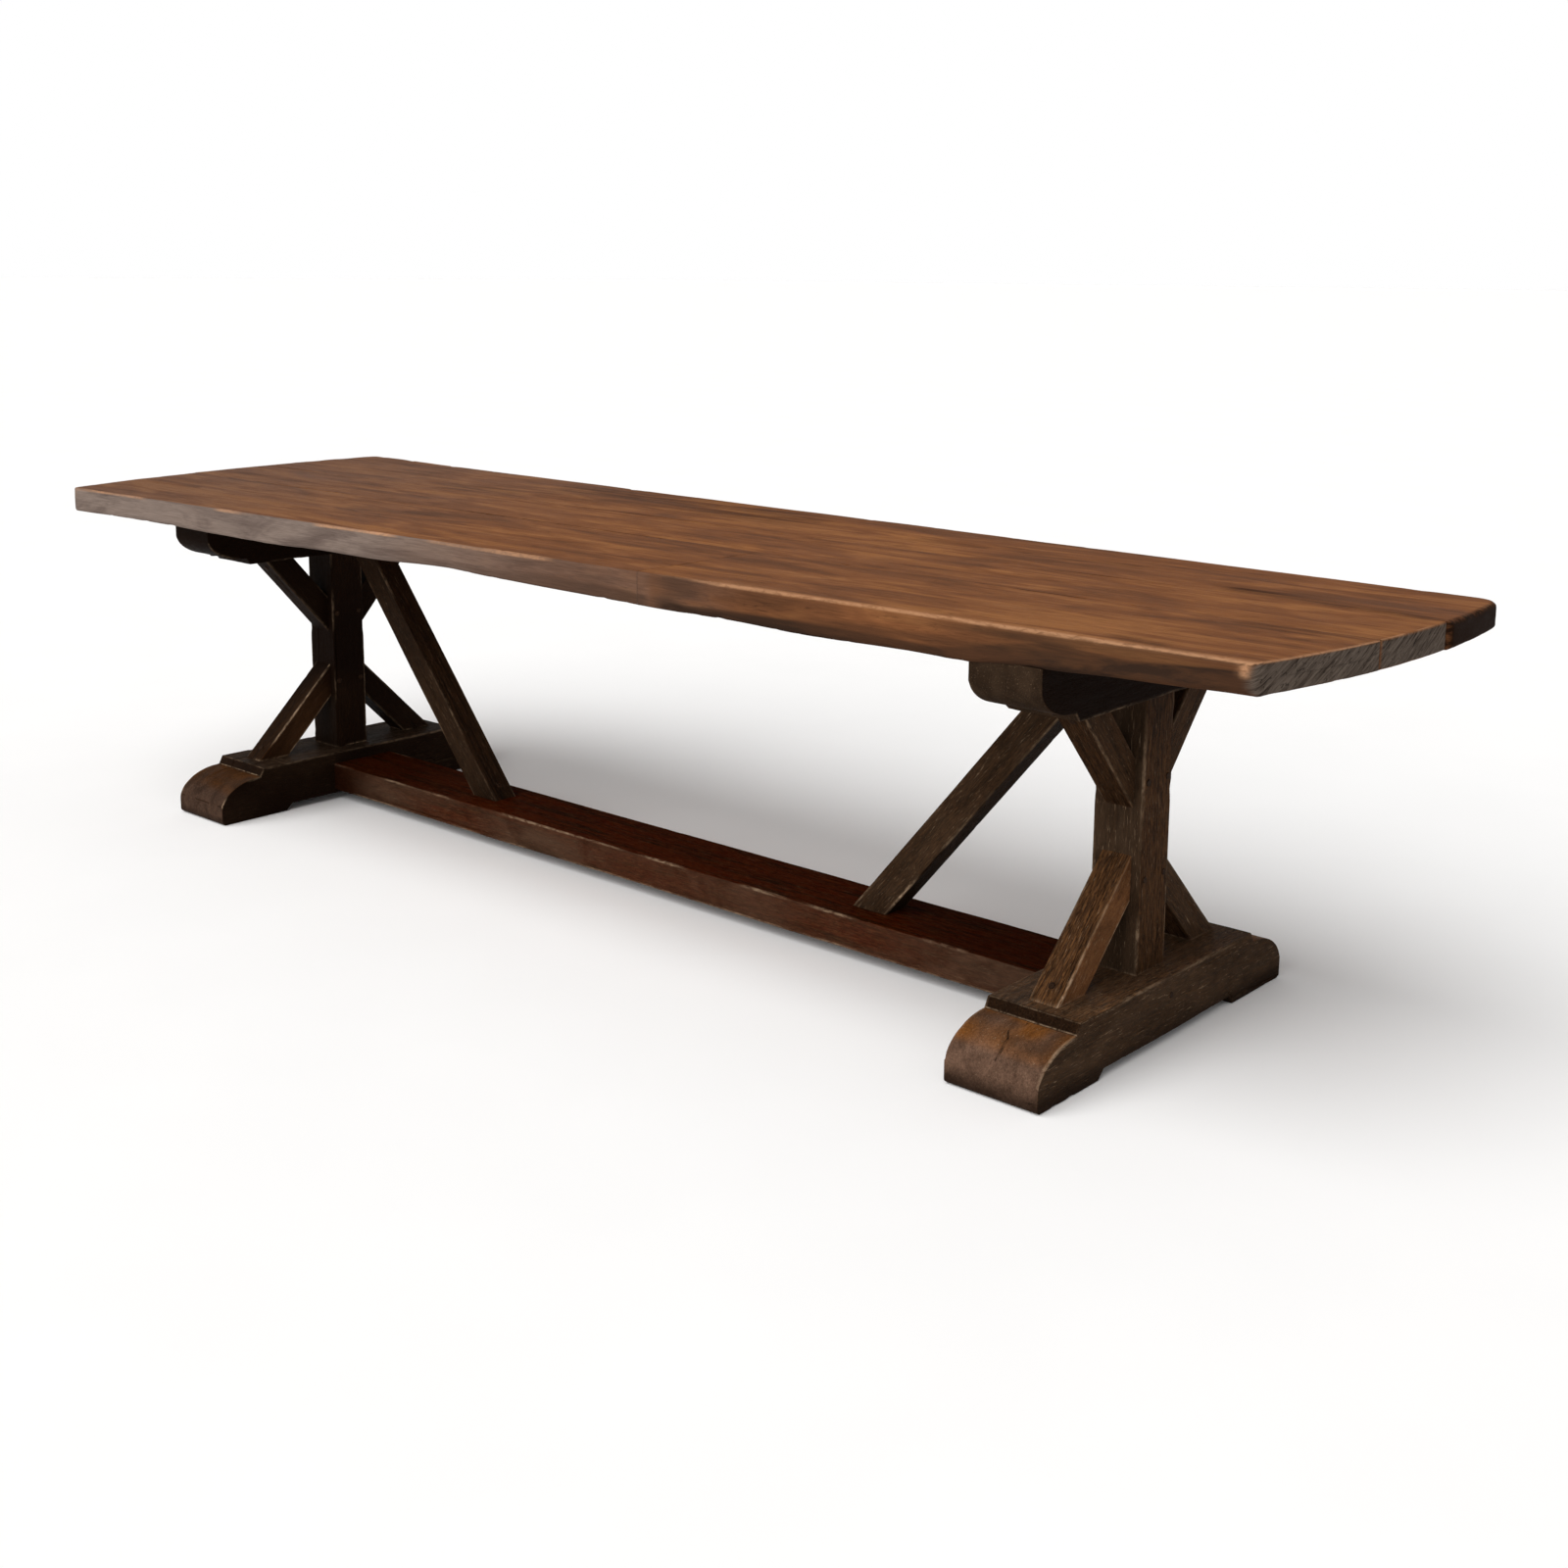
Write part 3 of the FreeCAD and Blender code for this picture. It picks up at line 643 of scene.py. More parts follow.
def waxed_oak_planks(name):
    """Oak under many coats of wax: brown streaks, a dull sheen, grey skin and bare arrises in front, and
    painted light and shade.
    """
    tones = bpy.context.scene.refectory_colours
    material, tree = new_material(name)
    oak = oak_patterns(tree, {
        "streak": (420, 14, 0, 3.0),
        "flame": (240, 40, 0, 5.0),
        "cloud": (560, 170, 0, 3.0),
        # Real fibres and pores are far under a millimetre wide, and are drawn wider so that they show
        "fibre": (60, 2.6, 0, 3.0),
        "pore": (45, 6, 0, 2.0),
        "fleck": (14, 6, 0, 2.0),
        "ring": (55, 5, 38, 3.0),
        "crack": (46, 9, 42, 1.0),
    })
    tone = node(tree, MATH, {0: oak["cloud"], 1: 0.4}, operation="MULTIPLY")[0]
    for pattern, part in (("flame", 0.45), ("streak", 0.15)):
        tone = node(tree, MATH, {0: oak[pattern], 1: part, 2: tone}, operation="MULTIPLY_ADD")[0]
    browns = ((0.40, tones.top_dark), (0.5, tones.top_middle), (0.59, tones.top_pale))
    wood = node(tree, RAMP, {0: tone}, browns)[0]
    skin = node(tree, RAMP, {0: oak["flame"]}, ((0.34, tones.weathered_dark), (0.56, tones.weathered)))[0]
    fibres = node(tree, RAMP, {0: oak["fibre"]}, ((0.3, (0.79, 0.78, 0.77, 1)), (0.7, grey(1.15))))[0]
    wood = node(tree, inputs={0: 1.0, 6: wood, 7: fibres}, **SHADE)[2]
    skin = node(tree, inputs={0: 1.0, 6: skin, 7: fibres}, **SHADE)[2]

    # Growth rings cross the end grain as slanting bands, and thin cracks curve between them
    rings = node(tree, RAMP, {0: oak["ring"]}, ((0.30, tones.end_dark), (0.62, tones.end_pale)))[0]
    cracks = node(tree, RAMP, {0: oak["crack"]}, ((0.475, WHITE), (0.5, grey(0.3)), (0.525, WHITE)))[0]
    rings = node(tree, inputs={0: 1.0, 6: rings, 7: cracks}, **SHADE)[2]
    rings = node(tree, inputs={0: oak["stain"], 6: rings, 7: tones.stain}, **MIX)[2]

    # How much of each coat shows, as greys between two values of a pattern
    shares = {
        coat: node(tree, RAMP, {0: oak[pattern]}, ((begin, grey(first)), (finish, grey(last))))[0]
        for coat, pattern, begin, first, finish, last in (
            ("pores", "pore", 0.60, 0.0, 0.74, 0.4),
            ("stain", "streak", 0.35, 1.0, 0.62, 0.25),
            ("handled", "flame", 0.35, 0.7, 0.6, 1.0),
            ("wear", "fleck", 0.3, 0.45, 0.55, 1.0),
        )
    }
    for coat in ("stain", "handled", "wear"):
        shares[coat] = node(tree, MATH, {0: oak[coat], 1: shares[coat]}, operation="MULTIPLY")[0]
    # The handling coat also paints shade, the skin a grey reflection and the pale arris wood a highlight,
    # where the mesh fields ask for them
    for share, coat in (
        (shares["pores"], tones.stain), (shares["stain"], tones.stain), (oak["weathered"], skin),
        (shares["handled"], tones.soot_and_shade), (oak["endgrain"], rings), (shares["wear"], tones.rubbed_and_highlight),
    ):
        wood = node(tree, inputs={0: share, 6: wood, 7: coat}, **MIX)[2]

    ridges = {0: oak["ring"], 1: oak["endgrain"], 2: oak["fibre"]}
    relief = node(tree, MATH, ridges, operation="MULTIPLY_ADD")[0]
    finish_oak(
        tree, wood, relief, strength=0.35, depth=0.002, pattern=oak["cloud"], roughness=(0.55, 0.70),
        sheen=0.008,
    )
    return material


def stained_oak(name, dark, middle, plain, polish, sheen, scratched):
    """Dark stained oak: black pores, brown fibres, amber where the stain has gone, leathery end grain, and
    painted light and shade.
    """
    tones = bpy.context.scene.refectory_colours
    material, tree = new_material(name)
    oak = oak_patterns(tree, {
        "streak": (230, 14, 0, 4.0),
        "cloud": (110, 50, 0, 4.0),
        # Real fibres and pores are far under a millimetre wide, and are drawn wider so that they show
        "fibre": (30, 2.6, 0, 3.0),
        "pore": (15, 2.2, 0, 2.0),
        "fleck": (20, 8, 0, 2.0),
        "scratch": (22, 2.0, 0, 2.0),
        "leather": (4, 4, 0, 4.0),
    })

    # How much of each coat shows, as greys between two values of a pattern
    shares = {
        coat: node(tree, RAMP, {0: oak[pattern]}, ((begin, grey(first)), (finish, grey(last))))[0]
        for coat, pattern, begin, first, finish, last in (
            ("fibres", "fibre", 0.42, 0.0, 0.68, 1.0),
            ("pores", "pore", 0.50, 0.0, 0.68, 0.7),
            ("grit", "leather", 0.36, 0.38, 0.58, 0.0),
            ("scratches", "scratch", 0.62, 0.0, 0.74, scratched),
            ("wear", "fleck", 0.35, 0.1, 0.65, 1.0),
        )
    }
    wood = node(tree, RAMP, {0: oak["streak"]}, ((0.34, dark), (0.54, middle)))[0]
    worn = node(tree, MATH, {0: oak["handled"], 1: 0.75, 2: 0.18}, operation="MULTIPLY_ADD")[0]
    thinned = node(tree, MATH, {0: shares["fibres"], 1: worn}, operation="MULTIPLY")[0]
    rubbed_and_highlight = node(tree, MATH, {0: oak["wear"], 1: shares["wear"]}, operation="MULTIPLY")[0]
    mottle = node(tree, RAMP, {0: oak["cloud"]}, ((0.38, (0.62, 0.61, 0.60, 1)), (0.6, grey(1.12))))[0]
    skin = node(tree, inputs={0: 1.0, 6: mottle, 7: plain}, **SHADE)[2]
    hide = node(tree, inputs={0: oak["handled"], 6: tones.frame_scuffed, 7: tones.frame_amber}, **MIX)[2]
    hide = node(tree, inputs={0: shares["grit"], 6: hide, 7: dark}, **MIX)[2]
    hide = node(tree, inputs={0: 1.0, 6: mottle, 7: hide}, **SHADE)[2]
    # The stain coat also paints shade, the end grain and handled coats paint light, and the rubbed line
    # paints highlights, where the mesh fields ask for them
    for share, coat in (
        (thinned, tones.frame_fibre), (shares["pores"], dark), (oak["endgrain"], hide),
        (oak["weathered"], skin), (shares["scratches"], tones.frame_rubbed), (oak["stain"], dark),
        (rubbed_and_highlight, tones.frame_rubbed),
    ):
        wood = node(tree, inputs={0: share, 6: wood, 7: coat}, **MIX)[2]

    pits = {0: shares["pores"], 1: -1.0, 2: oak["fibre"]}
    relief = node(tree, MATH, pits, operation="MULTIPLY_ADD")[0]
    finish_oak(
        tree, wood, relief, strength=0.6, depth=0.003, pattern=oak["streak"],
        roughness=(polish, polish + 0.15), sheen=sheen,
    )
    return material


def riven_oak(name, tone):
    """Split oak of pegs and dowels: short fibres and a dry, uneven face."""
    material, tree = new_material(name)
    place = node(tree, "ShaderNodeTexCoord")["Object"]
    # A fibre bundle is about 3 mm across, and a patch of stain about 25 mm
    speck = node(tree, NOISE, {"Vector": place, "Scale": 1000 / 3, "Detail": 3.0})["Fac"]
    patch = node(tree, NOISE, {"Vector": place, "Scale": 1000 / 25, "Detail": 2.0})["Fac"]
    light = node(tree, RAMP, {0: speck}, ((0.3, (0.45, 0.42, 0.40, 1)), (0.7, (1.25, 1.2, 1.15, 1))))[0]
    tint = node(tree, RAMP, {0: patch}, ((0.3, grey(0.7)), (0.7, WHITE)))[0]
    wood = node(tree, inputs={0: 1.0, 6: light, 7: tone}, **SHADE)[2]
    wood = node(tree, inputs={0: 1.0, 6: wood, 7: tint}, **SHADE)[2]
    bump = node(tree, "ShaderNodeBump", {"Height": speck, "Strength": 0.4, "Distance": 0.0006})[0]
    surface = node(tree, "ShaderNodeBsdfPrincipled", {
        "Base Color": wood, "Roughness": 0.62, "Normal": bump, "Specular IOR Level": 0.05,
    })[0]
    node(tree, "ShaderNodeOutputMaterial", {"Surface": surface})
    return material


def matt_floor_paint(name):
    """Matt pale paint with the faint mottle of a rolled coat."""
    tones = bpy.context.scene.refectory_colours
    material, tree = new_material(name)
    place = node(tree, "ShaderNodeTexCoord")["Object"]
    # The roller leaves patches about a third of a metre across
    mottle = node(tree, NOISE, {"Vector": place, "Scale": 3.0, "Detail": 2.0})["Fac"]
    coat = node(tree, RAMP, {0: mottle}, ((0.3, grey(0.985)), (0.7, WHITE)))[0]
    coat = node(tree, inputs={0: 1.0, 6: coat, 7: tones.floor}, **SHADE)[2]
    surface = node(tree, "ShaderNodeBsdfPrincipled", {"Base Color": coat, "Roughness": 0.9})[0]
    node(tree, "ShaderNodeOutputMaterial", {"Surface": surface})
    return material


def frame_oak():
    """The dull stained oak of the trestles and braces."""
    tones = bpy.context.scene.refectory_colours
    return material_of(
        "stained_oak_frame", stained_oak, dark=tones.frame_dark, middle=tones.frame_middle,
        plain=tones.frame_plain, polish=0.48, sheen=0.012, scratched=0.4,
    )


def stretcher_oak():
    """The redder oak of the stretcher, which feet have polished."""
    tones = bpy.context.scene.refectory_colours
    return material_of(
        "polished_oak_stretcher", stained_oak, dark=tones.stretcher_dark, middle=tones.stretcher_red,
        plain=tones.stretcher_front, polish=0.45, sheen=0.0005, scratched=0.1,
    )


# Plank top

BOARDS = ("front_board_left", "front_board_right", "middle_board", "back_board")

# Where the edges of a board are measured: how far from its ends and corners, at how many places, and how
# far over its middle as a share of its thickness
EDGE_MARGIN = 0.06
EDGE_STOPS = 9
EDGE_RISE = 0.35
CORNER_MARGIN = 0.022
END_STOPS = 20

# Old spills on the top: both ends on the boards, half their width, and how dark they are
STAINS = (
    ((0.72, 0.226), (0.96, 0.260), 0.020, 0.60),
    ((1.22, 0.165), (1.56, 0.130), 0.024, 0.95),
    ((1.38, -0.120), (1.60, -0.110), 0.026, 0.55),
    ((1.30, -0.340), (1.37, -0.356), 0.016, 0.45),
    ((0.48, 0.252), (0.63, 0.255), 0.016, 0.60),
    ((-0.60, 0.340), (0.10, 0.320), 0.100, 0.60),
    ((-0.30, 0.275), (-0.14, 0.286), 0.030, 0.40),
    ((-0.87, 0.182), (-0.68, 0.186), 0.045, 0.45),
    ((-0.72, -0.238), (-0.50, -0.191), 0.030, 0.40),
    ((0.40, -0.183), (0.58, -0.183), 0.018, 0.35),
)

# How far the lower edge of the front hangs below the boards at places along it, as the live edge left it
FRONT_LIP = (
    (-1.6, 0.000), (-0.7, 0.002), (-0.15, -0.005), (0.34, 0.002), (0.7, 0.008), (1.07, 0.012), (1.3, 0.0),
    (1.6, 0.0),
)
LIP_DEPTH = 0.05
LIP_WANDER = 0.0025

# How far each corner of the top has risen as the boards cast, and where they thin out to the right
CAST = {"front_left": -0.003, "back_left": 0.008, "front_right": -0.002, "back_right": -0.006}
THIN_FROM = 1.22
THIN_RUN = 0.33

# Joints of the boards: the reach of their dark line, how far bare wood keeps off, and where they gape
JOINT_LINE = 0.002
JOINT_CLEAN = 0.006
GAPE_FROM = 1.3
GAPE_RUN = 0.2

# The top gets a painted grey reflection and painted shade towards its far left end, and the back board is
# dark at its right end
FAR_REFLECTION_RUN = 1.4
JUT_FROM = 1.45
DULL_FROM = 1.48
DARK_END_RUN = 0.05

# Front edge, past the seam: it turns brown, with a dark patch
BROWN_FROM = 0.01
BROWN_RUN = 0.06
PATCH_FROM = 0.10
PATCH_RUN = 0.095

# Dark band along the foot of the front edge, which rises and darkens to the right
BAND_HEIGHT = 0.023
BAND_WANDER = 0.005
BAND_EDGE = 0.008
BAND_RISE = 0.018
DARK_FROM = 0.95
DARK_RUN = 0.2

# Grey left half of the front edge: how far left of the middle it starts to turn brown and to darken
GREY_FROM = 0.5
DIM_FROM = 0.8

# Bare wood and a painted highlight on the front arris: how far they keep off a board's left end, how soon
# over the middle of the edge they start, the highlight's rise of the normal and its breadth, and how large
# the pale tip is
KEPT_END = 0.1
UPPER_EDGE = 0.01
HIGHLIGHT_RISE = 0.84
HIGHLIGHT_BREADTH = 0.12
TIP_REACH = (0.007, 0.014)


def stain_on(points):
    """How dark the old spills are at each point of a board."""
    total = np.zeros(points.shape[:-1])
    wander = smooth_noise(points, (0.20, 0.20, 0.20), NOISE_SEEDS["spill"]) * 0.012
    for begin, finish, half_width, strength in STAINS:
        begin, finish = np.array(begin), np.array(finish)
        run = finish - begin
        offset = points[..., :2] - begin
        share = np.clip((offset @ run) / (run @ run), 0, 1)
        away = np.linalg.norm(offset - share[..., None] * run, axis=-1) + wander
        total = np.maximum(total, strength * np.exp(-(away / half_width) ** 2))
    return total


def cast(x, y):
    """How far the top has risen at each place, from what it rose at its corners."""
    low, high = cad_box
    right = np.clip((x - low.x) / (high.x - low.x), 0, 1)
    back = np.clip((y - low.y) / (high.y - low.y), 0, 1)
    front = CAST["front_left"] * (1 - right) + CAST["front_right"] * right
    return front * (1 - back) + (CAST["back_left"] * (1 - right) + CAST["back_right"] * right) * back


def corner_cut(away, radius):
    """How far a rounded corner of a board is cut back, at distances from the board's edge."""
    inside = np.clip(radius - away, 0, radius)
    return radius - np.sqrt(radius ** 2 - inside ** 2)


class Board:
    """One board of the top, measured on its CAD solid, with the shape and looks that use has given it, and
    painted light and shade.
    """

    def __init__(self, name, top, seed):
        self.top = top
        self.seed = seed
        self.low, self.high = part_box(name)
        self.middle_z = (self.low.z + self.high.z) / 2
        self.above = self.middle_z + EDGE_RISE * (self.high.z - self.low.z)
        self.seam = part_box("front_board_left")[1].x
        self.is_front = name.startswith("front")
        self.is_back = name.startswith("back")
        self.has_tip = name == "front_board_right"
        self.tree = surface_of(name)

        # Both long edges, as straight lines through places measured along the board
        stops = np.linspace(self.low.x + EDGE_MARGIN, self.high.x - EDGE_MARGIN, EDGE_STOPS)
        ahead, behind = self.low.y - 1, self.high.y + 1
        near = [hit(self.tree, (x, ahead, self.above), Y_AXIS).y for x in stops]
        far = [hit(self.tree, (x, behind, self.above), -Y_AXIS).y for x in stops]
        self.front = np.polyfit(stops, near, 1)
        self.back = np.polyfit(stops, far, 1)
        self.joints = []
        if not self.is_front:
            self.joints.append(self.front)
        if not self.is_back:
            self.joints.append(self.back)

        # Both ends: the corners and the rims are rounded, apart from the end at the seam
        corners = [top.corner, top.far_corner if self.is_back else top.corner]
        self.rims = [
            top.far_arris if self.is_front else top.end_arris,
            top.far_arris if self.is_back else top.end_arris,
        ]
        if self.is_front:
            seam_end = 0 if self.has_tip else 1
            corners[seam_end] = 0
            self.rims[seam_end] = top.joint_arris
        reach = top.back_reach if self.is_back else 0
        self.cuts = (
            self.end_cut(self.low.x, X_AXIS, corners[0], 0),
            self.end_cut(self.high.x, -X_AXIS, corners[1], -reach),
        )

    def end_cut(self, face_x, inward, radius, step):
        """One bowed end of the board, with its outer corner rounded to the radius."""
        near, far = np.polyval(self.front, face_x), np.polyval(self.back, face_x)
        rows = np.linspace(near + CORNER_MARGIN, far - CORNER_MARGIN, END_STOPS)
        found = [hit(self.tree, (face_x - inward.x, y, self.above), inward).x for y in rows]
        bow = np.polyfit(rows, found, 2)

        def places(p, q):
            away = p - near if self.is_front else far - p
            corner = corner_cut(away, radius) if self.is_front or self.is_back else 0 * p
            return np.polyval(bow, p) + inward.x * (corner + step)
        return places

    def limits(self, places):
        """The four sides at places along the board."""
        whole = np.ones_like(places)
        sides = np.polyval(self.front, places), np.polyval(self.back, places)
        return *sides, self.low.z * whole, self.high.z * whole

    def arrises(self, places):
        """The four radii at places along the board."""
        top = self.top
        joint = top.joint_arris * np.ones_like(places)
        if self.is_front:
            worn = ease((places - self.seam) / top.change_length)
            change = 1 + 0.2 * line_noise(places, 0.16, NOISE_SEEDS["upper_arris"])
            upper = (top.crisp_arris + (top.worn_arris - top.crisp_arris) * worn) * change
            change = 1 + 0.3 * line_noise(places, 0.12, NOISE_SEEDS["lower_arris"])
            lower = top.lower_arris * (0.5 + 0.5 * worn) * change
            return lower, joint, joint, upper
        soft = top.crisp_arris * (1 + 0.3 * line_noise(places, 0.12, self.seed)) if self.is_back else joint
        return joint, soft, soft, joint

    def shape(self, points):
        """Casts the board, thins its right end and hangs the live edge of the front."""
        x, y, z = np.moveaxis(points, -1, 0)
        height = np.clip((z - self.low.z) / (self.high.z - self.low.z), 0, 1)
        lift = height * cast(x, y) + (1 - height) * self.top.thin_end * ease((x - THIN_FROM) / THIN_RUN)
        if self.is_front:
            near = 1 - ease((y - np.polyval(self.front, x)) / LIP_DEPTH)
            wander = LIP_WANDER * line_noise(x, 0.19, NOISE_SEEDS["live_edge"])
            lip = np.interp(x, *zip(*FRONT_LIP)) + wander
            lift = lift - near * ease(1 - height) * lip
        return np.stack([x, y, z + lift], axis=-1)

    def looks(self, points, outward, wear):
        """Spills, dark joints, a painted reflection and painted shade to the left, and rubbed arrises."""
        x, y = points[..., 0], points[..., 1]
        upward = ease(outward[..., 2] * 2)
        # Painted reflection and painted shade: the top turns greyer and darker towards its far left end
        far_reflection_and_shade = upward * ease(-x / FAR_REFLECTION_RUN)
        away = np.min([np.abs(y - np.polyval(edge, x)) for edge in self.joints], axis=0)
        if self.is_front:
            away = np.minimum(away, np.abs(x - self.seam))
        gaping = ease((np.abs(x) - GAPE_FROM) / GAPE_RUN)
        opened = np.clip(0.55 + 0.6 * line_noise(x, 0.3, NOISE_SEEDS["joint"]), gaping, 1)
        joint = 0.8 * opened * np.exp(-(away / JOINT_LINE) ** 2)
        made = {
            "stain": np.maximum(stain_on(points) * upward, joint),
            "weathered": 0.26 * far_reflection_and_shade,
            "handled": 0.18 * far_reflection_and_shade,
            "wear": wear * ease(away / JOINT_CLEAN),
        }
        if self.is_back:
            self.add_back_looks(made, x, outward)
        if self.is_front:
            self.add_front_looks(made, points, outward)
        return made

    def add_back_looks(self, made, x, outward):
        """The dark right end of the back board and its handled back edge."""
        jutting = ease(-outward[..., 1] * 2) * ease((x - JUT_FROM) / DARK_END_RUN)
        made["stain"] = np.maximum.reduce([made["stain"], 1.2 * ease(outward[..., 0] * 2), jutting])
        made["wear"] = made["wear"] * (1 - 0.85 * ease((x - DULL_FROM) / DARK_END_RUN))
        made["handled"] = made["handled"] + 0.4 * ease(outward[..., 1] * 2)

    def add_front_looks(self, made, points, outward):
        """Grey skin, handled wood and bare arrises of the front edge, with a painted highlight along the
        arris.
        """
        x, y, z = np.moveaxis(points, -1, 0)
        wear, seam = made["wear"], self.seam
        facing = ease((-outward[..., 1] - np.minimum(outward[..., 2], 0) - 0.2) / 0.35)
        brown = ease((x - seam - BROWN_FROM) / BROWN_RUN)
        worn = ease((x - seam) / self.top.change_length)
        to_end = ease((x - DARK_FROM) / DARK_RUN)

        # The dark band follows the live edge, and the patch is mottled
        wander = BAND_WANDER * line_noise(x, 0.15, NOISE_SEEDS["edge_band"])
        band = BAND_HEIGHT + wander + BAND_RISE * to_end
        lower = ease((self.low.z - np.interp(x, *zip(*FRONT_LIP)) + band - z) / BAND_EDGE)
        streak = smooth_noise(points, (0.22, 0.02, 0.012), NOISE_SEEDS["edge_streak"])
        mottle = smooth_noise(points, (0.07, 0.02, 0.014), NOISE_SEEDS["edge_mottle"])
        patch = np.exp(-((x - seam - PATCH_FROM) / PATCH_RUN) ** 2)
        patch = patch * np.clip(0.8 + 0.55 * mottle + 0.2 * lower, 0, 1)
        dark = np.clip(0.4 + 0.3 * streak + 0.7 * lower + 0.35 * to_end, 0, 1)
        dim = (0.4 + 0.35 * lower) * ease((x + DIM_FROM) / (seam + DIM_FROM)) * (1 - brown)
        skin = (1 - brown) * (1 - 0.6 * ease((x + GREY_FROM) / (seam + GREY_FROM)))
        grime_and_shade = np.maximum.reduce([brown * dark, patch, dim])
        made["weathered"] = np.maximum(made["weathered"], 0.95 * facing * np.maximum(skin, 0.4 * patch))
        made["handled"] = np.maximum(made["handled"], facing * grime_and_shade)

        upper = ease((z - self.middle_z) / UPPER_EDGE)
        # Painted highlight: a pale line where the rounded front arris tilts up towards the light, past the
        # seam
        line = np.exp(-((outward[..., 2] - HIGHLIGHT_RISE) / HIGHLIGHT_BREADTH) ** 2) * ease(-outward[..., 1] * 20)
        bare_and_highlight = np.maximum(wear * upper * (1 - worn), 0.85 * brown * line)
        bare_and_highlight = bare_and_highlight * (0.25 + 0.75 * ease((x - self.low.x - KEPT_END) / KEPT_END))
        bare_and_highlight = np.maximum(bare_and_highlight, 0.6 * wear * ease((outward[..., 0] - 0.2) * 2))
        # The near right corner is painted pale, as worn wood and a painted highlight
        if self.has_tip:
            corner_y = np.array([np.polyval(self.front, self.high.x)])
            corner_x = self.cuts[1](corner_y, None)[0]
            tip = np.hypot((x - corner_x) / TIP_REACH[0], (y - np.polyval(self.front, x)) / TIP_REACH[1])
            bare_and_highlight = np.maximum(bare_and_highlight, 0.8 * np.exp(-tip ** 2) * upper)
        made["wear"] = bare_and_highlight


class REFECTORY_OT_top(bpy.types.Operator):
    """Makes the boards of the plank top."""

    bl_idname = "refectory.top"
    bl_label = "Plank Top"

    def execute(self, context):
        top = context.scene.refectory_top
        material = material_of("waxed_oak_planks", waxed_oak_planks)
        for number, name in enumerate(BOARDS):
            board = Board(name, top, SEEDS["board"] + number)
            piece = sweep(
                name, material, (X_AXIS, Y_AXIS, Z_AXIS), board.cuts, board.limits, board.arrises,
                board.seed, end_round=board.rims, wave_height=top.wave_height, shape=board.shape,
                fields=board.looks,
            )
            hand_over(piece, "top_oak", name)
        return {"FINISHED"}


# Sledge feet and bearers

SIDES = ("left", "right")

# Where the outline of a sledge is measured: over its noses, along its body and at its corners
NOSE_RUN = 0.107
NOSE_STOPS = 40
BODY_STEP = 0.005
CORNER_ANGLE = 0.35
CORNER_GAP = 0.0012
CORNER_SHARE = 0.6
SLEDGE_ROUND = 0.0019
LEAST_INSET = 1e-5
FOOT_PROBE = 0.4
BEARER_PROBE = 0.46

# Nose, step and sides of a foot: heights over the floor and the reach of what marks them
TOE_RADIUS = 0.013
RISER_RUN = 0.010
NOSE_EDGE = 0.003
RISER_EDGE = 0.004
CROWN_FROM = 0.066
CROWN_RUN = 0.022
RIM_REACH = 0.02
STEP_FOOT = 0.06
STEP_BROW = 0.004
STEP_DROP = 0.01
DIRT_TOP = 0.045
DIRT_RUN = 0.035
FLOOR_CLEAR = 0.02
FOOT_PATCH = (0.035, 0.035, 0.035)

# Gaping check in the nose of the right foot
NOSE_CHECK = {"side": TOP, "share": 0.52, "from": 0.016, "to": 0.085, "depth": 1.4, "wander": 0.009}


def left_painted_shade(points):
    """Painted shade that darkens the whole left trestle, where the light falls off."""
    cloud = smooth_noise(points, (0.12, 0.12, 0.12), NOISE_SEEDS["left_painted_shade"])
    return np.clip(0.9 + 0.2 * cloud, 0, 1) * (points[..., 0] < 0)


def make_sledge(name, seed, probe_share, checks, fields, shape=None):
    """Foot or bearer, with its upper and lower outlines measured on its CAD solid.

    probe_share says where across the timber, as a share of its width from the middle.
    """
    settings = bpy.context.scene.refectory_timber
    low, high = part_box(name)
    tree = surface_of(name)
    middle_x = (low.x + high.x) / 2
    probe_x = middle_x + probe_share * (high.x - low.x)

    # Places along the sledge, close together over its rounded noses and at its corners
    nose = NOSE_RUN * (1 - np.cos(np.linspace(0, math.pi / 2, NOSE_STOPS)))
    body = np.arange(low.y + NOSE_RUN, high.y - NOSE_RUN, BODY_STEP)
    corners = set()
    for begin, finish in sharp_edges(name, CORNER_ANGLE):
        run = finish - begin
        if abs(run.x) > CORNER_SHARE * (high.x - low.x):
            corners.add(round(begin.y, 5))
    first, last = low.y + 3 * CORNER_GAP, high.y - 3 * CORNER_GAP
    corners = np.array(sorted(corner for corner in corners if first < corner < last))
    body = body[np.abs(body[:, None] - corners).min(axis=1) > 2 * CORNER_GAP]
    close = [corners - CORNER_GAP, corners, corners + CORNER_GAP]
    stops = np.unique(np.concatenate([low.y + nose, high.y - nose, body, *close]))
    stops = stops[(stops > low.y + LEAST_INSET) & (stops < high.y - LEAST_INSET)]
    upper = [hit(tree, (probe_x, y, high.z + 1), -Z_AXIS).z for y in stops]
    lower = [hit(tree, (probe_x, y, low.z - 1), Z_AXIS).z for y in stops]
    stations = (stops - low.y) / (high.y - low.y)

    def limits(places):
        half = np.full_like(places, (high.x - low.x) / 2)
        return -half, half, np.interp(places, stops, lower), np.interp(places, stops, upper)

    def all_fields(points, outward, wear):
        return fields(points, outward, wear, corners)

    cuts = (lambda p, q: low.y + 0 * p, lambda p, q: high.y + 0 * p)
    piece = sweep(
        name, frame_oak(), (Y_AXIS, X_AXIS, Z_AXIS), cuts, limits, even_arrises(settings, seed), seed,
        stations=stations, end_round=(SLEDGE_ROUND, SLEDGE_ROUND), checks=checks, shape=shape,
        fields=all_fields, origin=Vector((middle_x, 0, 0)),
    )
    hand_over(piece, "frame_oak", name)


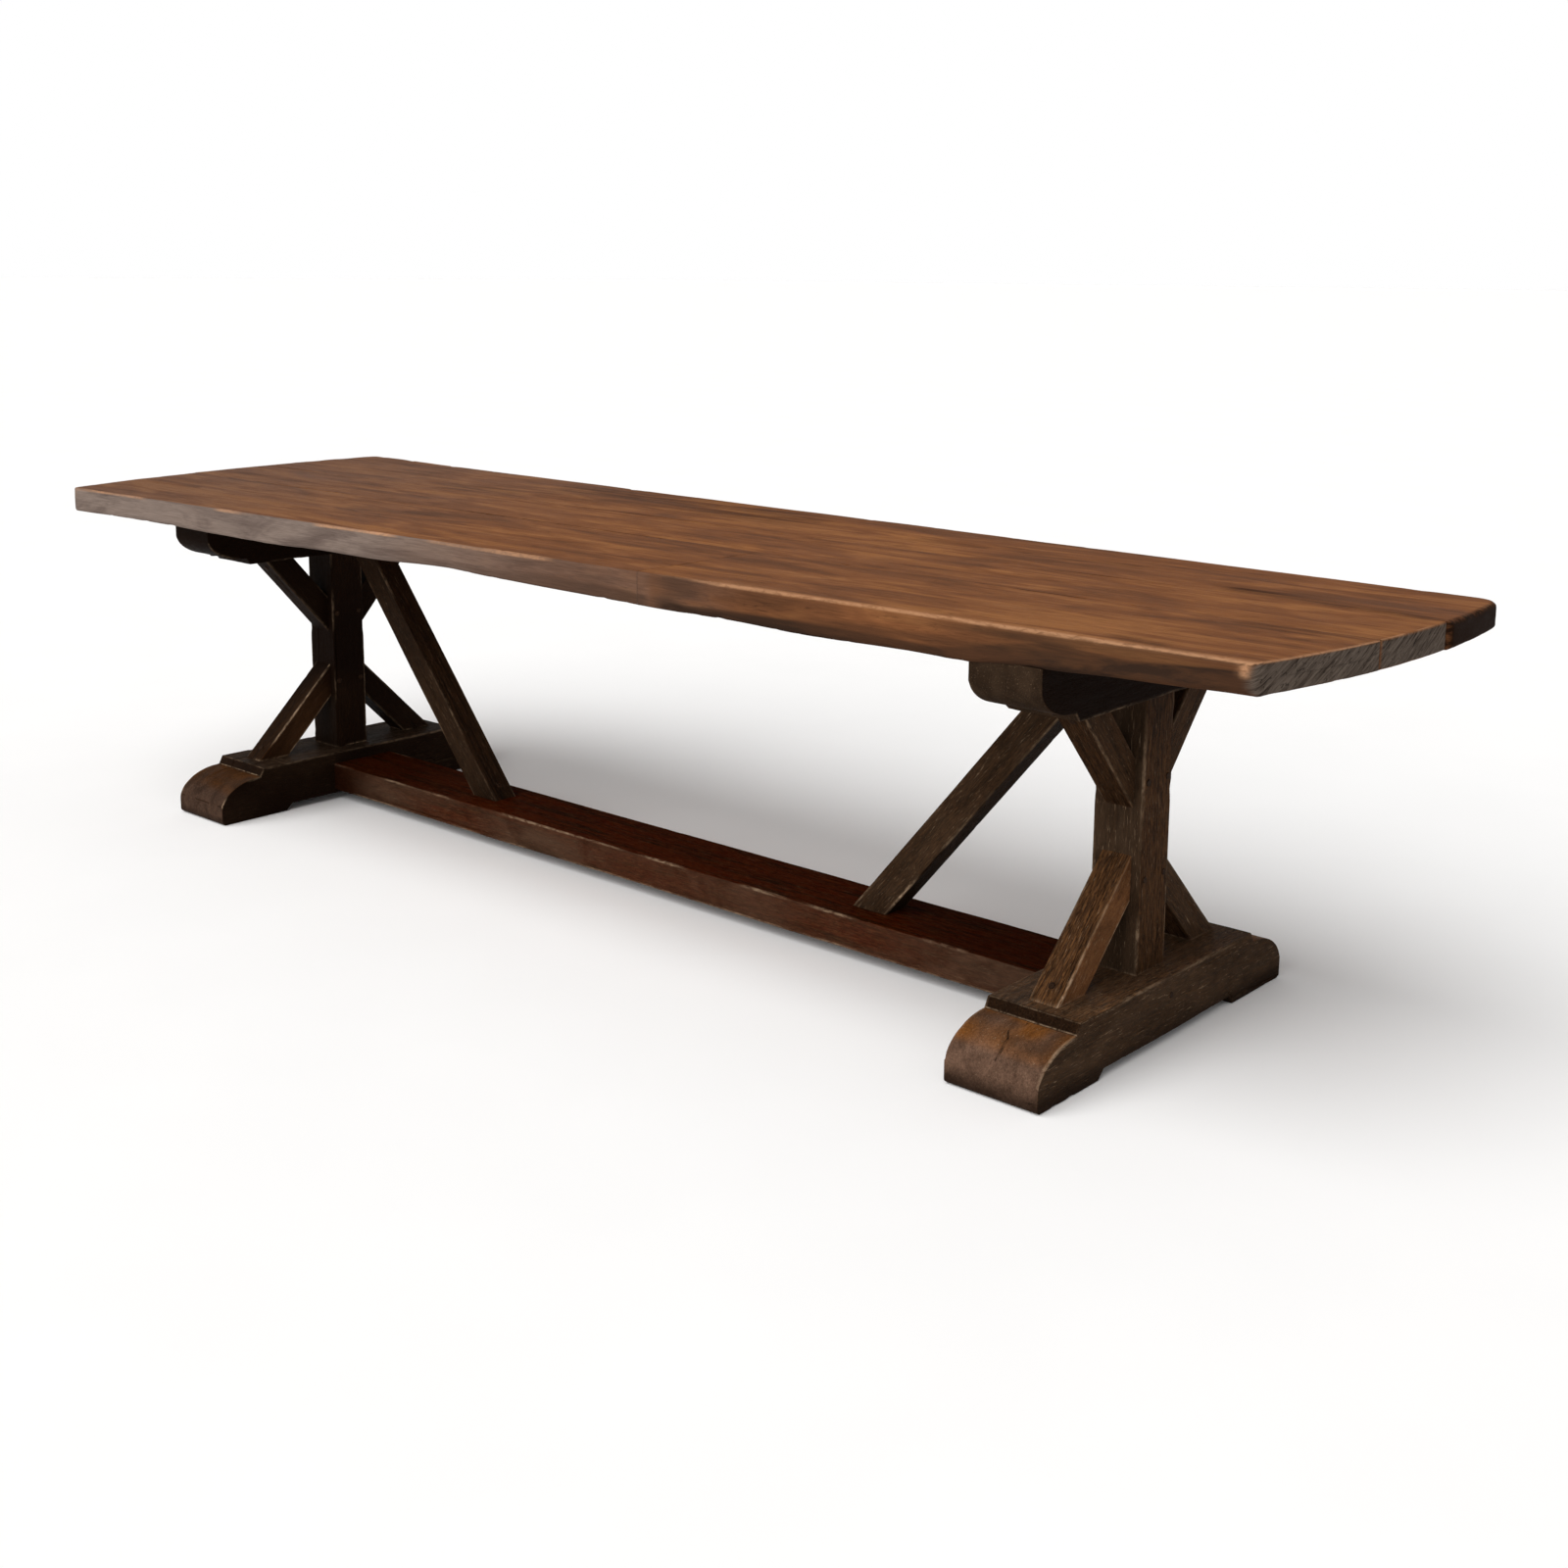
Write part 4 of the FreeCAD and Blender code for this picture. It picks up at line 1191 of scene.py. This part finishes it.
class REFECTORY_OT_feet(bpy.types.Operator):
    """Makes the sledge feet, with noses that shoes have rubbed."""

    bl_idname = "refectory.feet"
    bl_label = "Sledge Feet"

    def execute(self, context):
        for number, side in enumerate(SIDES):
            checks = random_checks("foot", number, (TOP, LEFT, RIGHT))
            if side == "right":
                checks.append(NOSE_CHECK)
            self.make_foot(f"{side}_foot", SEEDS["foot"] + number, 1 if side == "right" else -1, checks)
        return {"FINISHED"}

    def make_foot(self, name, seed, out, checks):
        """One foot, whose outer side faces along x to the side that out gives."""
        low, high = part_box(name)
        outer_x = high.x if out > 0 else low.x

        def shape(points):
            """Rounds the lower edge of each nose, where it has been dragged over floors."""
            x, y, z = np.moveaxis(points, -1, 0)
            for end, inward in ((low.y, 1), (high.y, -1)):
                inside = TOE_RADIUS - (y - end) * inward
                below = TOE_RADIUS - z
                away = np.hypot(inside, below)
                outside = (inside > 0) & (below > 0) & (away > TOE_RADIUS)
                pull = np.where(outside, TOE_RADIUS / away, 1)
                y = end + inward * (TOE_RADIUS - inside * pull)
                z = TOE_RADIUS - below * pull
            return np.stack([x, y, np.maximum(z, 0)], axis=-1)

        def fields(points, outward, wear, corners):
            x, y, z = np.moveaxis(points, -1, 0)
            upward = ease(outward[..., 2] * 1.5)
            sides = ease((np.abs(outward[..., 0]) - 0.6) * 4)
            endways = ease((np.abs(outward[..., 1]) - 0.12) / 0.5) * (1 - sides)
            end_away = np.minimum(y - low.y, high.y - y)
            nose = 1 - ease((end_away - NOSE_RUN + NOSE_EDGE) / NOSE_EDGE)
            crown = nose * ease((z - CROWN_FROM) / CROWN_RUN)
            riser = (1 - nose) * ease((NOSE_RUN + RISER_RUN + RISER_EDGE - end_away) / RISER_EDGE)
            deck = upward * (1 - nose)
            cloud = smooth_noise(points, FOOT_PATCH, NOISE_SEEDS["foot_patch"])
            patch = np.clip(0.6 + 0.6 * cloud, 0, 1)
            rim = np.exp(-((x - outer_x) / RIM_REACH) ** 2)
            worn = np.maximum((0.5 + 0.6 * rim) * deck, 1.5 * crown)

            # Dust lies in the corner at the foot of the step and along its brow
            lip = np.abs(y[..., None] - corners).min(axis=-1) < 0.6 * CORNER_GAP
            foot_line = lip & (z > STEP_FOOT) & (z < high.z - STEP_DROP)
            brow_line = lip & (z > high.z - STEP_BROW)
            dust = np.where(foot_line, 0.5 + 0.4 * patch, np.where(brow_line, 0.45 * patch, 0))
            dust = np.maximum(dust * (1 - sides), 0.07 * deck * (1 - riser))
            dirt_and_shade = np.maximum(0.75 * ease((DIRT_TOP - z) / DIRT_RUN), 0.8 * riser * (1 - sides))
            # Painted shade of the left trestle joins the dirt
            dirt_and_shade = np.maximum(dirt_and_shade, left_painted_shade(points) * (1 - 0.33 * nose * (1 - sides)))
            return {
                "handled": np.clip(worn * patch, 0, 1) * (1 - sides) + 0.45 * sides,
                "weathered": 0.75 * sides + 0.15 * deck * (1 - sides),
                "endgrain": nose * np.maximum(endways, 0.7 * crown * (1 - sides)),
                "stain": dirt_and_shade,
                "wear": np.maximum(wear * (z > FLOOR_CLEAR) * (0.35 + 0.5 * nose), dust),
            }

        make_sledge(name, seed, out * FOOT_PROBE, checks, fields, shape)


class REFECTORY_OT_bearers(bpy.types.Operator):
    """Makes the bearers under the top."""

    bl_idname = "refectory.bearers"
    bl_label = "Bearers"

    def execute(self, context):
        def fields(points, outward, wear, corners):
            sides = ease((np.abs(outward[..., 0]) - 0.6) * 4)
            # Painted shade from the top above: the bearers are darkened all over, and most on their sides
            return {
                "weathered": 0.9 * (1 - sides), "stain": np.maximum(0.3 + 0.7 * sides, left_painted_shade(points)),
                "endgrain": 0.0, "wear": 0.3 * wear,
            }

        for number, side in enumerate(SIDES):
            checks = random_checks("bearer", number, (BOTTOM, LEFT, RIGHT))
            make_sledge(f"{side}_bearer", SEEDS["bearer"] + number, BEARER_PROBE, checks, fields)
        return {"FINISHED"}


# Straight bars of the frame

FACES = ("front", "back")
LEVELS = ("lower", "upper")
SHARP_ANGLE = 0.2
LONG_SHARE = 0.3
STRAIGHT = 0.9999

# How far up the dust in a corner reaches, where painted shade on the posts deepens upwards, and where the
# long braces change their looks
DUST_FROM = 0.001
DUST_RUN = 0.003
POST_SHADE_FROM = 0.40
POST_SHADE_RUN = 0.25
BRACE_FOOT_RUN = 0.25

# Where along the stretcher its top darkens towards the ends, and where its front gets painted shade at the
# left
TOP_DARKENING = (0.55, 0.35)
FRONT_LEFT_SHADE = (0.8, 0.2)


def bar_frame(node_name, across, begin):
    """Axes of a straight timber and its sides, read from the long sharp edges of its CAD solid.

    begin is a point near the end where the timber starts.
    """
    edges = sharp_edges(node_name, SHARP_ANGLE)
    longest = max(edges, key=lambda ends: (ends[1] - ends[0]).length)
    near, far = sorted(longest, key=lambda point: (point - begin).length)
    along = (far - near).normalized()
    up = along.cross(across).normalized()
    corners = []
    for ends in edges:
        run = ends[1] - ends[0]
        is_long = run.length > LONG_SHARE * (far - near).length
        if is_long and abs(run.normalized().dot(along)) > STRAIGHT:
            corners += ends
    p = [c.dot(across) for c in corners]
    q = [c.dot(up) for c in corners]
    return (along, across, up), (min(p), max(p), min(q), max(q))


def make_bar(name, material, across, begin, start_planes, end_planes, seed, checks, fields):
    """One straight timber, cut to the planes that it meets: each a direction and a distance along it."""
    settings = bpy.context.scene.refectory_timber
    axes, sides = bar_frame(name, across, begin)
    along, across, up = axes
    origin = across * (sides[0] + sides[1]) / 2 + up * (sides[2] + sides[3]) / 2

    def cut(planes, pick, sink):
        def places(p, q):
            found = []
            for facing, distance in planes:
                rest = p * facing.dot(across) + q * facing.dot(up) + origin.dot(facing)
                found.append((distance - rest) / facing.dot(along))
            return pick.reduce(found) + sink
        return places

    def limits(places):
        half_p = np.full_like(places, (sides[1] - sides[0]) / 2)
        half_q = np.full_like(places, (sides[3] - sides[2]) / 2)
        return -half_p, half_p, -half_q, half_q

    sink = settings.joint_sink
    cuts = (cut(start_planes, np.maximum, -sink), cut(end_planes, np.minimum, sink))
    arrises = even_arrises(settings, seed)
    piece = sweep(
        name, material, axes, cuts, limits, arrises, seed, checks=checks, fields=fields, origin=origin
    )
    hand_over(piece, "frame_oak", name)


def dust_on(points):
    """Pale dust in the corner where a timber stands on a foot."""
    above = points[..., 2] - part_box("left_foot")[1].z
    cloud = smooth_noise(points, (0.03, 0.03, 0.03), NOISE_SEEDS["dust"])
    return 0.55 * np.clip(0.45 + 0.6 * cloud, 0, 1) * (1 - ease((above - DUST_FROM) / DUST_RUN))


class REFECTORY_OT_posts(bpy.types.Operator):
    """Makes the square posts of the trestles."""

    bl_idname = "refectory.posts"
    bl_label = "Posts"

    def execute(self, context):
        def fields(points, outward, wear):
            front = ease((-outward[..., 1] - 0.5) * 3)
            # Painted shade on the sides of the posts, deepening upwards into the shade under the top
            high = ease((points[..., 2] - POST_SHADE_FROM) / POST_SHADE_RUN)
            return {
                "weathered": 0.8 * front, "handled": 0.3 * (1 - front),
                "stain": np.maximum(0.05 + (0.15 + 0.45 * high) * (1 - front), left_painted_shade(points)),
                "wear": np.maximum(0.4 * wear, dust_on(points)),
            }

        for number, side in enumerate(SIDES):
            foot_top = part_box(f"{side}_foot")[1].z
            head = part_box(f"{side}_bearer")[0].z
            checks = random_checks("post", number, (BOTTOM, RIGHT, TOP, LEFT))
            make_bar(
                f"{side}_post", frame_oak(), X_AXIS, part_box(f"{side}_post")[0], [(Z_AXIS, foot_top)],
                [(Z_AXIS, head)], SEEDS["post"] + number, checks, fields,
            )
        return {"FINISHED"}


class REFECTORY_OT_short_braces(bpy.types.Operator):
    """Makes the braces that steady each post on its foot and under its bearer."""

    bl_idname = "refectory.short_braces"
    bl_label = "Short Braces"

    def execute(self, context):
        def lower_fields(points, outward, wear):
            outer = ease((outward[..., 2] - 0.3) * 4)
            side = ease((np.abs(outward[..., 0]) - 0.5) * 3)
            # Painted light and highlight: the front braces' faces that look to the right end are painted
            # paler and more amber, with a brighter arris line
            right = ease(outward[..., 0] * 3) * (points[..., 1] < 0)
            return {
                "handled": 0.65 * outer + 0.25 * side + 0.3 * right, "weathered": 0.5 * side * (1 - right),
                "endgrain": 0.65 * right,
                "stain": np.maximum(0.15 * outer, left_painted_shade(points)),
                "wear": np.maximum(np.clip((0.5 + 1.3 * right) * wear, 0, 1), dust_on(points)),
            }

        def upper_fields(points, outward, wear):
            side = ease((np.abs(outward[..., 0]) - 0.5) * 3)
            # Painted shade under the bearers, a little lighter on the faces that look sideways
            stain = np.maximum(0.5 - 0.3 * side, left_painted_shade(points))
            return {"handled": 0.12, "weathered": 0.4 * side, "stain": stain, "wear": 0.3 * wear}

        for number, (side, face, level) in enumerate(itertools.product(SIDES, FACES, LEVELS)):
            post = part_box(f"{side}_post")
            post_y = post[0].y if face == "front" else post[1].y
            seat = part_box(f"{side}_foot")[1].z if level == "lower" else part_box(f"{side}_bearer")[0].z
            begin = Vector(((post[0].x + post[1].x) / 2, 4 * post_y, seat))
            checks = random_checks("short_brace", number, (BOTTOM, TOP, LEFT, RIGHT))
            make_bar(
                f"{side}_{face}_{level}_brace", frame_oak(), X_AXIS, begin, [(Z_AXIS, seat)],
                [(Y_AXIS, post_y)], SEEDS["short_brace"] + number, checks,
                lower_fields if level == "lower" else upper_fields,
            )
        return {"FINISHED"}


class REFECTORY_OT_stretcher(bpy.types.Operator):
    """Makes the low stretcher between the feet."""

    bl_idname = "refectory.stretcher"
    bl_label = "Stretcher"

    def execute(self, context):
        def fields(points, outward, wear):
            side = ease((np.abs(outward[..., 1]) - 0.5) * 3)
            patch = 0.6 + 0.4 * smooth_noise(points, (0.3, 0.1, 0.05), NOISE_SEEDS["stretcher"])
            x = points[..., 0]
            # Darker towards both ends of the top, and painted shade over the front's left end by the left
            # foot
            grime_and_shade = 0.45 * ease((np.abs(x) - TOP_DARKENING[0]) / TOP_DARKENING[1]) * (1 - side)
            grime_and_shade = np.maximum(grime_and_shade, 0.85 * side * ease((-x - FRONT_LEFT_SHADE[0]) / FRONT_LEFT_SHADE[1]))
            return {"weathered": 0.9 * side * patch, "stain": grime_and_shade, "wear": 0.6 * wear}

        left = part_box("left_foot")[1].x
        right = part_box("right_foot")[0].x
        checks = random_checks("stretcher", 0, (BOTTOM, TOP, LEFT, RIGHT))
        make_bar(
            "stretcher", stretcher_oak(), Y_AXIS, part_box("stretcher")[0], [(X_AXIS, left)],
            [(X_AXIS, right)], SEEDS["stretcher"], checks, fields,
        )
        return {"FINISHED"}


class REFECTORY_OT_long_braces(bpy.types.Operator):
    """Makes the long braces from the stretcher to the bearers."""

    bl_idname = "refectory.long_braces"
    bl_label = "Long Braces"

    def execute(self, context):
        def fields(points, outward, wear):
            side = ease((np.abs(outward[..., 1]) - 0.5) * 3)
            # Painted shade on the faces that look down
            under = ease((-outward[..., 2] - 0.2) * 4)
            low = 1 - ease((points[..., 2] - seat) / BRACE_FOOT_RUN)
            return {
                "weathered": 0.6 * side, "handled": 0.2 * side,
                "stain": np.maximum(0.2 + 0.5 * under, 0.7 * left_painted_shade(points)),
                "wear": (0.3 + 0.6 * low) * wear,
            }

        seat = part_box("stretcher")[1].z
        under_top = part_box("middle_board")[0].z
        for number, side in enumerate(SIDES):
            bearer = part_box(f"{side}_bearer")
            inner = bearer[1].x if side == "left" else bearer[0].x
            out = -X_AXIS if side == "left" else X_AXIS
            checks = random_checks("long_brace", number, (BOTTOM, TOP, LEFT, RIGHT))
            make_bar(
                f"{side}_long_brace", frame_oak(), Y_AXIS, Vector((0, 0, seat)), [(Z_AXIS, seat)],
                [(out, abs(inner)), (Z_AXIS, under_top)], SEEDS["long_brace"] + number, checks, fields,
            )
        return {"FINISHED"}


# Pegs and dowels

PEGS = (
    "post_foot_pegs", "post_bearer_pegs", "lower_brace_post_pegs", "upper_brace_post_pegs",
    "lower_brace_foot_pegs", "upper_brace_bearer_pegs", "stretcher_pegs", "long_brace_foot_pegs",
    "long_brace_head_pegs", "top_pegs",
)
DOWELS = ("front_joint_dowels", "back_joint_dowels", "butt_seam_dowels")
PEG_RINGS = 61
PEG_TIP = 0.72


def loose_solids(node_name):
    """Corner points of each separate solid in a CAD node."""
    work = bmesh.new()
    work.from_mesh(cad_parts[node_name].data)
    bmesh.ops.remove_doubles(work, verts=work.verts, dist=MERGE_DISTANCE)
    left = set(work.verts)
    solids = []
    while left:
        waiting = [left.pop()]
        points = []
        while waiting:
            vert = waiting.pop()
            points.append(tuple(vert.co))
            near = {edge.other_vert(vert) for edge in vert.link_edges} & left
            left -= near
            waiting += near
        solids.append(np.array(sorted(points)))
    work.free()
    return sorted(solids, key=lambda points: tuple(points.mean(axis=0).round(4)))


def peg_places(node_name):
    """Start, direction, radius and length of every peg in a CAD node."""
    places = []
    for points in loose_solids(node_name):
        centre = (points.min(axis=0) + points.max(axis=0)) / 2
        aim = np.linalg.svd(points - points.mean(axis=0))[2][0]
        aim = aim * (1 if aim[np.argmax(np.abs(aim))] > 0 else -1)
        run = (points - centre) @ aim
        girth = np.linalg.norm((points - centre) - np.outer(run, aim), axis=1).max()
        places.append((centre + aim * run.min(), aim, girth, run.max() - run.min()))
    return places


def peg_tree():
    """Geometry Nodes that set a riven peg at every point, aimed along the point's own direction."""
    tree = bpy.data.node_groups.new("riven_pegs", "GeometryNodeTree")
    tree.interface.new_socket("Points", in_out="INPUT", socket_type="NodeSocketGeometry")
    for name, kind in (("Sides", "Int"), ("Head Round", "Float"), ("Seed", "Int"), ("Finish", "Material")):
        tree.interface.new_socket(name, in_out="INPUT", socket_type=f"NodeSocket{kind}")
    tree.interface.new_socket("Pegs", in_out="OUTPUT", socket_type="NodeSocketGeometry")
    given = node(tree, "NodeGroupInput")
    line = node(tree, "GeometryNodeCurvePrimitiveLine", {"End": (0, 0, 1)})[0]
    fine = node(tree, "GeometryNodeResampleCurve", {"Curve": line, "Count": PEG_RINGS})[0]
    along = node(tree, "GeometryNodeSplineParameter")["Factor"]
    back = node(tree, MATH, {0: 1.0, 1: along}, operation="SUBTRACT")[0]
    nearest = node(tree, MATH, {0: along, 1: back}, operation="MINIMUM")[0]
    girth = node(tree, "ShaderNodeMapRange", {
        "Value": nearest, "From Max": given["Head Round"], "To Min": PEG_TIP, "To Max": 1.0,
    }, interpolation_type="SMOOTHERSTEP")[0]
    outline = node(tree, "GeometryNodeCurvePrimitiveCircle", {
        "Resolution": given["Sides"], "Radius": 1.0,
    })[0]
    peg = node(tree, "GeometryNodeCurveToMesh", {
        "Curve": fine, "Profile Curve": outline, "Scale": girth, "Fill Caps": True,
    })[0]
    aim = node(tree, "GeometryNodeInputNamedAttribute", {"Name": "aim"}, data_type="FLOAT_VECTOR")[0]
    size = node(tree, "GeometryNodeInputNamedAttribute", {"Name": "size"}, data_type="FLOAT_VECTOR")[0]
    turn = node(tree, "FunctionNodeAlignRotationToVector", {"Vector": aim}, axis="Z")[0]
    spin = node(tree, "FunctionNodeRandomValue", {
        3: math.tau, "Seed": given["Seed"],
    }, data_type="FLOAT")[1]
    about = node(tree, "FunctionNodeAxisAngleToRotation", {"Axis": (0, 0, 1), "Angle": spin})[0]
    turned = node(tree, "FunctionNodeRotateRotation", {0: turn, 1: about}, rotation_space="LOCAL")[0]
    placed = node(tree, "GeometryNodeInstanceOnPoints", {
        "Points": given["Points"], "Instance": peg, "Rotation": turned, "Scale": size,
    })[0]
    real = node(tree, "GeometryNodeRealizeInstances", {"Geometry": placed})[0]
    finished = node(tree, "GeometryNodeSetMaterial", {"Geometry": real, "Material": given["Finish"]})[0]
    node(tree, "NodeGroupOutput", {0: finished})
    return tree


class REFECTORY_OT_pegs(bpy.types.Operator):
    """Makes the riven pegs of the frame and the dowels of the top."""

    bl_idname = "refectory.pegs"
    bl_label = "Pegs and Dowels"

    def execute(self, context):
        tones = context.scene.refectory_colours
        peg_wood = riven_oak("riven_oak_pegs", tones.peg)
        dowel_wood = riven_oak("riven_oak_dowels", tones.dowel)
        tree = peg_tree()
        for names, slot, material in ((PEGS, "peg_oak", peg_wood), (DOWELS, "dowel_oak", dowel_wood)):
            for name in names:
                self.make_set(context, tree, name, slot, material)
        return {"FINISHED"}

    def make_set(self, context, tree, name, slot, material):
        settings = context.scene.refectory_pegs
        starts, aims, girths, lengths = zip(*peg_places(name))
        points = bpy.data.meshes.new(f"{name}_points")
        points.from_pydata([tuple(start) for start in starts], [], [])
        put_field(points, "aim", np.array(aims))
        put_field(points, "size", np.stack([girths, girths, lengths], axis=-1))
        piece = bpy.data.objects.new(f"{name}_riven", points)
        context.scene.collection.objects.link(piece)
        modifier = piece.modifiers.new("pegs", "NODES")
        modifier.node_group = tree
        values = {
            "Sides": settings.sides, "Head Round": settings.head_round, "Seed": settings.seed,
            "Finish": material,
        }
        for item in tree.interface.items_tree:
            if item.in_out == "INPUT" and item.name in values:
                modifier[item.identifier] = values[item.name]
        mesh = bpy.data.meshes.new_from_object(piece.evaluated_get(context.evaluated_depsgraph_get()))
        piece.modifiers.clear()
        piece.data = mesh
        bpy.data.meshes.remove(points)
        if not mesh.polygons:
            raise RuntimeError(f"{name} came out empty")
        hand_over(piece, slot, name)


# Stage

# Heights on the sky, as sines, where the backdrop ends and the dim ceiling begins
BACKDROP_TOP = 0.19
CEILING_FROM = 0.5
KEY_WAY = (0.08, 0.62, -0.75)
SENSOR_WIDTH = 36.0


class REFECTORY_OT_stage(bpy.types.Operator):
    """Sets the floor, the soft studio light and the camera."""

    bl_idname = "refectory.stage"
    bl_label = "Studio"

    def execute(self, context):
        scene = context.scene
        self.make_floor(scene)
        self.make_light(scene)
        self.make_camera(scene)
        scene.view_settings.view_transform = "Standard"
        return {"FINISHED"}

    def make_floor(self, scene):
        half = scene.refectory_studio.floor_size / 2
        corners = [(-half, -half, 0), (half, -half, 0), (half, half, 0), (-half, half, 0)]
        mesh = bpy.data.meshes.new("studio_floor")
        mesh.from_pydata(corners, [], [(0, 1, 2, 3)])
        mesh.materials.append(matt_floor_paint("matt_floor_paint"))
        floor = bpy.data.objects.new("studio_floor", mesh)
        scene.collection.objects.link(floor)

    def make_light(self, scene):
        """A pale backdrop all round, a dim ceiling and one broad light from the front."""
        studio = scene.refectory_studio
        world = bpy.data.worlds.new("studio_sky")
        world.use_nodes = True
        tree = world.node_tree
        tree.nodes.clear()
        way = node(tree, "ShaderNodeTexCoord")["Generated"]
        height = node(tree, "ShaderNodeSeparateXYZ", {"Vector": way})["Z"]
        strength = node(tree, "ShaderNodeMapRange", {
            "Value": height, "From Min": BACKDROP_TOP, "From Max": CEILING_FROM,
            "To Min": studio.horizon, "To Max": studio.sky,
        }, interpolation_type="SMOOTHSTEP")[0]
        sky = node(tree, "ShaderNodeBackground", {"Color": WHITE, "Strength": strength})[0]
        node(tree, "ShaderNodeOutputWorld", {"Surface": sky})
        scene.world = world
        lamp = bpy.data.lights.new("key_light", "SUN")
        lamp.energy = studio.key
        lamp.angle = studio.key_spread
        light = bpy.data.objects.new("key_light", lamp)
        light.rotation_euler = Vector(KEY_WAY).to_track_quat("-Z", "Y").to_euler()
        scene.collection.objects.link(light)

    def make_camera(self, scene):
        studio = scene.refectory_studio
        lens = bpy.data.cameras.new("photo_camera")
        lens.lens = studio.lens
        lens.sensor_width = SENSOR_WIDTH
        lens.shift_y = studio.shift
        camera = bpy.data.objects.new("photo_camera", lens)
        camera.location = studio.place
        upright = Euler((math.pi / 2 - studio.tilt, 0, studio.turn), "XYZ").to_matrix()
        lean = Euler((0, 0, studio.roll), "XYZ").to_matrix()
        camera.rotation_euler = (upright @ lean).to_euler()
        scene.collection.objects.link(camera)
        scene.camera = camera


OPERATORS = (
    REFECTORY_OT_top, REFECTORY_OT_feet, REFECTORY_OT_bearers, REFECTORY_OT_posts,
    REFECTORY_OT_short_braces, REFECTORY_OT_stretcher, REFECTORY_OT_long_braces, REFECTORY_OT_pegs,
    REFECTORY_OT_stage,
)
SETTINGS = {
    "refectory_timber": TimberSettings,
    "refectory_top": TopSettings,
    "refectory_pegs": PegSettings,
    "refectory_colours": OakColours,
    "refectory_studio": StudioSettings,
}


class REFECTORY_PT_panel(bpy.types.Panel):
    """Lists the pieces of the table and their settings."""

    bl_label = "Refectory Table"
    bl_idname = "REFECTORY_PT_panel"
    bl_space_type = "VIEW_3D"
    bl_region_type = "UI"
    bl_category = "Refectory"

    def draw(self, context):
        for operator in OPERATORS:
            self.layout.operator(operator.bl_idname)
        for name, group in SETTINGS.items():
            box = self.layout.box()
            box.label(text=group.__doc__)
            for key in group.__annotations__:
                box.prop(getattr(context.scene, name), key)


CLASSES = (*SETTINGS.values(), *OPERATORS, REFECTORY_PT_panel)


def register():
    for item in CLASSES:
        bpy.utils.register_class(item)
    for name, group in SETTINGS.items():
        setattr(bpy.types.Scene, name, bpy.props.PointerProperty(type=group))


def unregister():
    for name in SETTINGS:
        delattr(bpy.types.Scene, name)
    for item in reversed(CLASSES):
        bpy.utils.unregister_class(item)


def main():
    register()
    bpy.ops.refectory.top()
    bpy.ops.refectory.feet()
    bpy.ops.refectory.bearers()
    bpy.ops.refectory.posts()
    bpy.ops.refectory.short_braces()
    bpy.ops.refectory.stretcher()
    bpy.ops.refectory.long_braces()
    bpy.ops.refectory.pegs()
    bpy.ops.refectory.stage()


if __name__ == "__main__":
    main()
